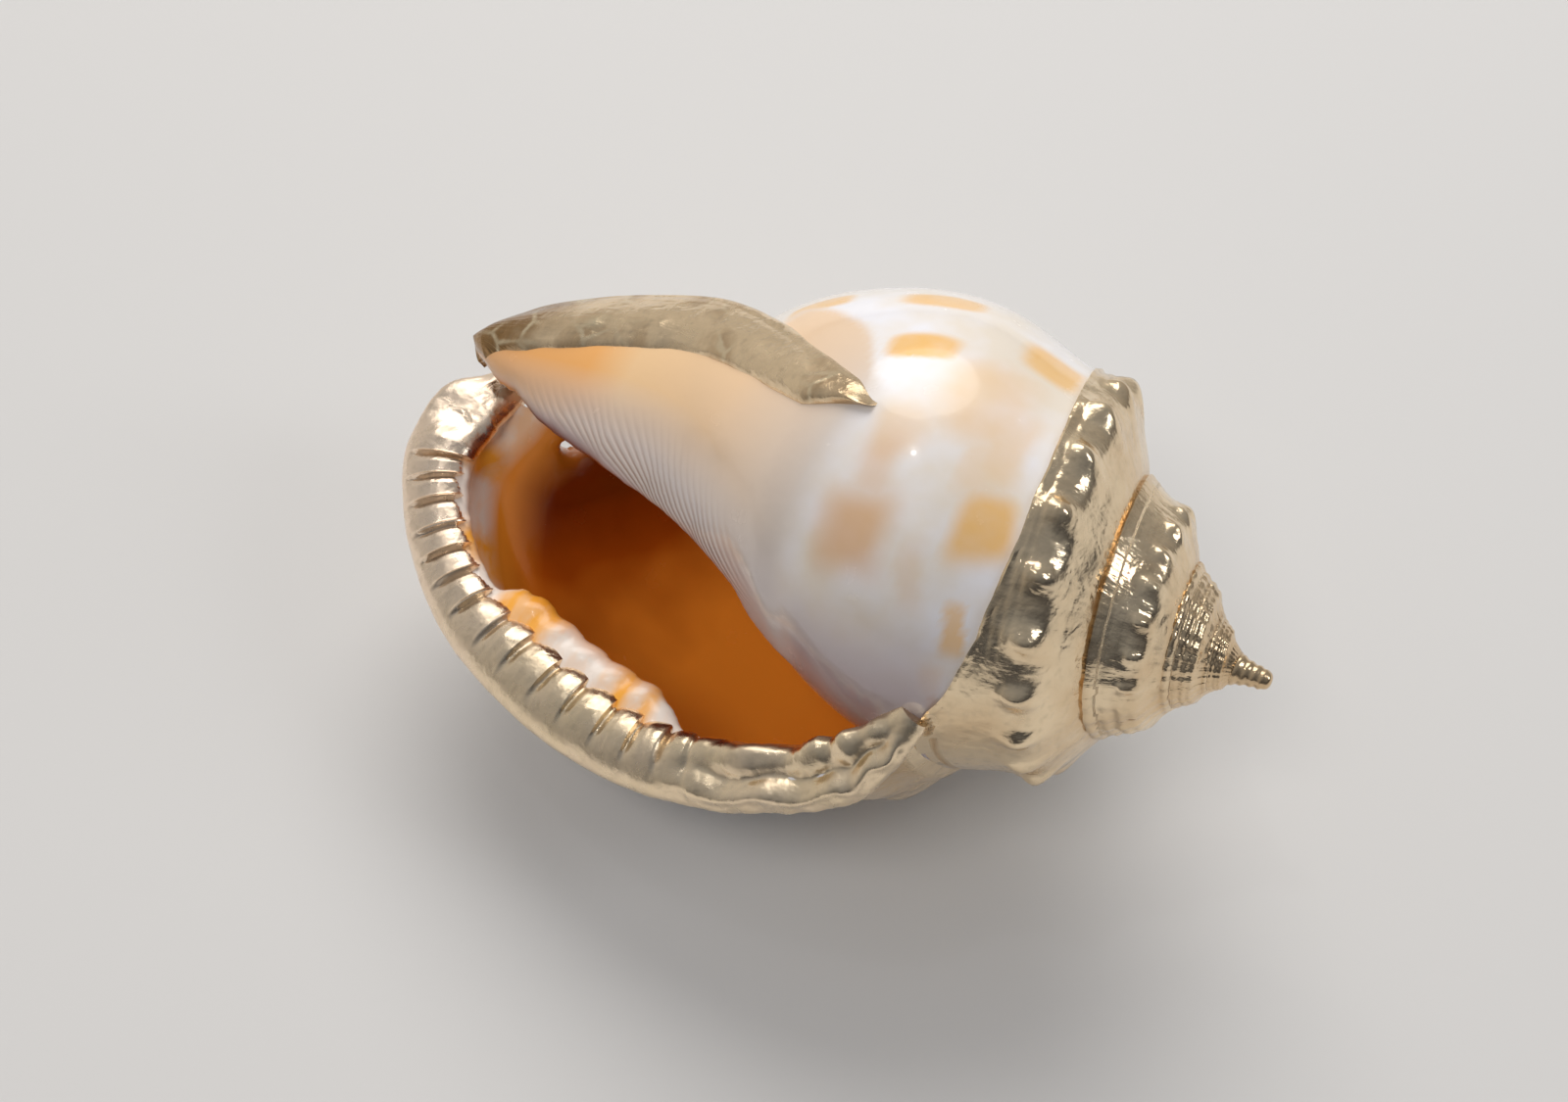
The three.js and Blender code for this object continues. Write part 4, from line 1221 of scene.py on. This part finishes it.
def lip_relief(share, turn):
    """Folds across the mouth face of the lip's plating, its crumpled stretch and its spoon"""
    degrees = np.degrees(turn) + 0 * share
    reach = 58 - 18 * smooth(share, 0.55, 0.7)
    facing = smooth(degrees, reach, reach + 45) * (1 - smooth(degrees, 200, 240))
    folded = (fold_height(share) - 0.25 * fold_at(share)[1]) * facing
    crumpled = (1 - smooth(share, 0.26, 0.32)) * smooth(share, 0.02, 0.08)
    wave = 0.5 + 0.5 * np.sin(95 * share + 0.03 * degrees)
    crest = crumpled * (0.6 + 0.7 * wave) * np.exp(-(((degrees - 128) / 24) ** 2))
    dent = -0.8 * crumpled * np.exp(-(((degrees - 92 + 12 * wave) / 16) ** 2))
    crest += 0.6 * crumpled * np.exp(-(((degrees - 58 + 14 * wave) / 14) ** 2))
    under = -2.2 * bare_lip(share, turn)
    return folded + crest + dent + spoon(share, degrees) + under


def lip_trim_mesh():
    points, faces = lip_bar(640, 96, 0, lip_relief)
    share, _ = lip_place(points)
    rough = 0.06 + 0.26 * (1 - smooth(share, 0.24, 0.34)) + 0.16 * smooth(share, 0.84, 0.92)
    middle = curve(place(LIP), np.linspace(0, 1, 400))
    nearest = middle[np.clip((share * 399).astype(int), 0, 399)]
    away = unit(points - nearest + 1e-6)
    lift = lumps(points, 4.2) + 0.45 * lumps(points, 1.8, 1) + 0.2 * lumps(points, 0.9, 2)
    points = points + away * (rough * lift)[:, None]
    mesh = cut_by_shell(points, faces)
    points, _ = arrays(mesh)
    share, _ = lip_place(points)
    set_mask(mesh, "front", smooth(share, 0.4, 0.75))
    return mesh


def shield_trim_mesh():
    def first(t, width):
        return np.maximum(0.1, 1 - evenly(SHIELD_TRIM_WIDTH, t) / width)

    def last(t):
        return SKIN * smooth(t, 0, 0.06)

    points, faces = shield_sheet(
        SHIELD_TRIM_FRONT, SHIELD_THICKNESS + SKIN, first, last, 0.0, 300, 60, SHIELD_TRIM_CROWN)
    points = points + 0.16 * lumps(points, 3.4, 4)[:, None] * np.array([0, 1, 0])
    mesh = cut_by_shell(points, faces)
    points, _ = arrays(mesh)
    share, across, _ = shield_place(points)
    set_mask(mesh, "tarnish", smooth(share + 0.05 * lumps(points, 4, 9), 0.66, 0.85))
    set_mask(mesh, "across_streak", across * 20)
    set_mask(mesh, "along_streak", share * 8)
    return mesh


class SHELL_OT_body(bpy.types.Operator):
    """Build the shell itself, with its chamber, lip and shield"""
    bl_idname = "bonnet.shell"
    bl_label = "Shell"

    def execute(self, context):
        settings = context.scene.bonnet_shell
        mesh = shell_mesh(settings.voxel)
        glaze_shell(mesh)
        mesh.copy().name = SHELL_COPY
        finished("bonnet_shell", mesh, "shell", shell_material(settings), "shell", crease=60)
        return {"FINISHED"}


class SHELL_OT_spire(bpy.types.Operator):
    """Build the plating of the spire"""
    bl_idname = "bonnet.spire"
    bl_label = "Plated spire"

    def execute(self, context):
        settings = context.scene.bonnet_plating
        mesh = plated_spire_mesh()
        spire_masks(mesh)
        # The crevice mask tints the spire with stain and with painted shadow behind the lip
        gold = plating_material("spire_plating", settings.gold, SPIRE_STAIN_AND_SHADOW, "crevice",
                                (0.10, 0.32), 0.00035, streak=0.45)
        finished("plated_spire", mesh, "spire_plating", gold, "spire_cap", crease=45)
        return {"FINISHED"}


def cut_by_shell(points, faces):
    """A solid less the shell that it lies on, as its largest body"""
    tool = bpy.data.objects.new("shell_tool", bpy.data.meshes[SHELL_COPY])
    bpy.context.scene.collection.objects.link(tool)
    sheet = working("sheet", points, faces)
    join_or_cut(sheet, "DIFFERENCE", tool)
    mesh = baked(sheet)
    bpy.data.objects.remove(tool)
    keep_largest(mesh)
    return mesh


class SHELL_OT_lip(bpy.types.Operator):
    """Build the plating of the outer lip"""
    bl_idname = "bonnet.lip"
    bl_label = "Plated outer lip"

    def execute(self, context):
        settings = context.scene.bonnet_plating
        mesh = lip_trim_mesh()
        gold = plating_material("lip_plating", settings.gold, settings.rose, "front",
                                (0.20, 0.40), 0.0003)
        finished("plated_outer_lip", mesh, "lip_plating", gold, "outer_lip_trim", crease=50)
        return {"FINISHED"}


class SHELL_OT_shield(bpy.types.Operator):
    """Build the plating of the shield's free edge"""
    bl_idname = "bonnet.shield"
    bl_label = "Plated shield edge"

    def execute(self, context):
        settings = context.scene.bonnet_plating
        mesh = shield_trim_mesh()
        bpy.data.meshes.remove(bpy.data.meshes[SHELL_COPY])
        pewter = plating_material("shield_plating", settings.pewter, SHIELD_TARNISH, "tarnish",
                                  (0.10, 0.34), 0.0003, streak=1.0, crackle=True)
        finished("plated_shield_edge", mesh, "shield_plating", pewter, "shield_trim", crease=50)
        return {"FINISHED"}


class SHELL_OT_stage(bpy.types.Operator):
    """Set the floor, the soft light and the camera"""
    bl_idname = "bonnet.stage"
    bl_label = "Stage"

    def execute(self, context):
        settings = context.scene.bonnet_stage
        add_floor(settings)
        add_lights(settings)
        add_camera(context)
        return {"FINISHED"}


def add_floor(settings):
    mesh = bpy.data.meshes.new("floor")
    size = 4.0
    mesh.from_pydata([(-size, -size, 0), (size, -size, 0), (size, size, 0), (-size, size, 0)], [],
                     [(0, 1, 2, 3)])
    material, tree, shader = new_material("floor")
    connect(tree, shader, {"Base Color": rgba(settings.floor), "Roughness": 0.75})
    mesh.materials.append(material)
    floor = bpy.data.objects.new("floor", mesh)
    bpy.context.scene.collection.objects.link(floor)


def add_lights(settings):
    lights = [
        # name, direction towards it, distance, size, share of the power, colour
        ("key", (-0.35, 0.75, 0.95), 0.9, (0.8, 0.65), 0.75, (1.0, 0.98, 0.95)),
        ("sheen", (-0.45, 0.7, 0.9), 0.85, (0.75, 0.6), 0.42, (1.0, 0.98, 0.95)),
        ("side", (1.0, 0.35, 0.8), 0.80, (0.20, 0.40), 0.18, (0.93, 0.96, 1.0)),
        ("fill", (-0.1, -0.5, 1.0), 0.80, (0.30, 0.26), 0.3, (1.0, 0.95, 0.9)),
        ("lamp", (-0.28, -0.02, 0.96), 0.90, (0.035, 0.035), 0.03, (1.0, 1.0, 1.0)),
    ]
    middle = Vector((0, 0, 0.03))
    for name, direction, distance, (width, height), share, colour in lights:
        light = bpy.data.lights.new(name, "AREA")
        light.shape = "ELLIPSE"
        light.size, light.size_y = width, height
        light.energy = settings.key_power * share
        light.color = colour
        lamp = bpy.data.objects.new(name, light)
        lamp.location = middle + Vector(direction).normalized() * distance
        lamp.rotation_euler = (lamp.location - middle).to_track_quat("Z", "Y").to_euler()
        lamp.visible_glossy = name not in ("key", "fill")
        bpy.context.scene.collection.objects.link(lamp)
    world = bpy.data.worlds.new("studio")
    bpy.context.scene.world = world
    world.use_nodes = True
    tree = world.node_tree
    way = add(tree, "ShaderNodeTexCoord", {}).outputs["Generated"]
    up = add(tree, "ShaderNodeSeparateXYZ", {0: way}).outputs["Z"]
    behind = add(tree, "ShaderNodeVectorMath", {0: way, 1: BRIGHT_SIDE}, operation="DOT_PRODUCT")
    level = remap(tree, behind.outputs["Value"], -0.7, 0.9)
    low = blend(tree, level, *ROOM_LOW)
    high = blend(tree, level, *ROOM_HIGH)
    sky = blend(tree, remap(tree, up, 0.15, 0.75), low, high)
    connect(tree, tree.nodes["Background"], {"Color": sky, "Strength": 1.0})


def add_camera(context):
    camera = bpy.data.cameras.new("camera")
    camera.lens = CAMERA_LENS
    camera.sensor_width = CAMERA_SENSOR
    camera.clip_start = 0.01
    eye = bpy.data.objects.new("camera", camera)
    right = (REST @ Vector(CAMERA_RIGHT)).normalized()
    up = (REST @ Vector(CAMERA_UP)).normalized()
    back = right.cross(up).normalized()
    up = back.cross(right)
    turned = Matrix((right, up, back)).transposed()
    eye.matrix_world = Matrix.Translation(
        (REST @ Vector(CAMERA_PLACE) + Vector(REST_PLACE)) * MM) @ turned.to_4x4()
    context.scene.collection.objects.link(eye)
    context.scene.camera = eye
    context.scene.view_settings.view_transform = "Standard"


class SHELL_PT_panel(bpy.types.Panel):
    """Sizes, colours and pieces of the shell"""
    bl_idname = "SHELL_PT_panel"
    bl_label = "Plated bonnet shell"
    bl_space_type = "VIEW_3D"
    bl_region_type = "UI"
    bl_category = "Shell"

    def draw(self, context):
        for group in ("bonnet_shell", "bonnet_plating", "bonnet_stage"):
            settings = getattr(context.scene, group)
            for name in settings.__annotations__:
                self.layout.prop(settings, name)
        for operator in OPERATORS:
            self.layout.operator(operator.bl_idname)


GROUPS = {
    "bonnet_shell": ShellSettings, "bonnet_plating": PlatingSettings, "bonnet_stage": StageSettings,
}
OPERATORS = (SHELL_OT_stage, SHELL_OT_body, SHELL_OT_spire, SHELL_OT_lip, SHELL_OT_shield)


def register():
    for name, group in GROUPS.items():
        bpy.utils.register_class(group)
        setattr(bpy.types.Scene, name, bpy.props.PointerProperty(type=group))
    for operator in OPERATORS:
        bpy.utils.register_class(operator)
    bpy.utils.register_class(SHELL_PT_panel)


def unregister():
    bpy.utils.unregister_class(SHELL_PT_panel)
    for operator in reversed(OPERATORS):
        bpy.utils.unregister_class(operator)
    for name, group in GROUPS.items():
        delattr(bpy.types.Scene, name)
        bpy.utils.unregister_class(group)


def main():
    register()
    bpy.ops.bonnet.stage()
    bpy.ops.bonnet.shell()
    bpy.ops.bonnet.spire()
    bpy.ops.bonnet.lip()
    bpy.ops.bonnet.shield()


if __name__ == "__main__":
    main()
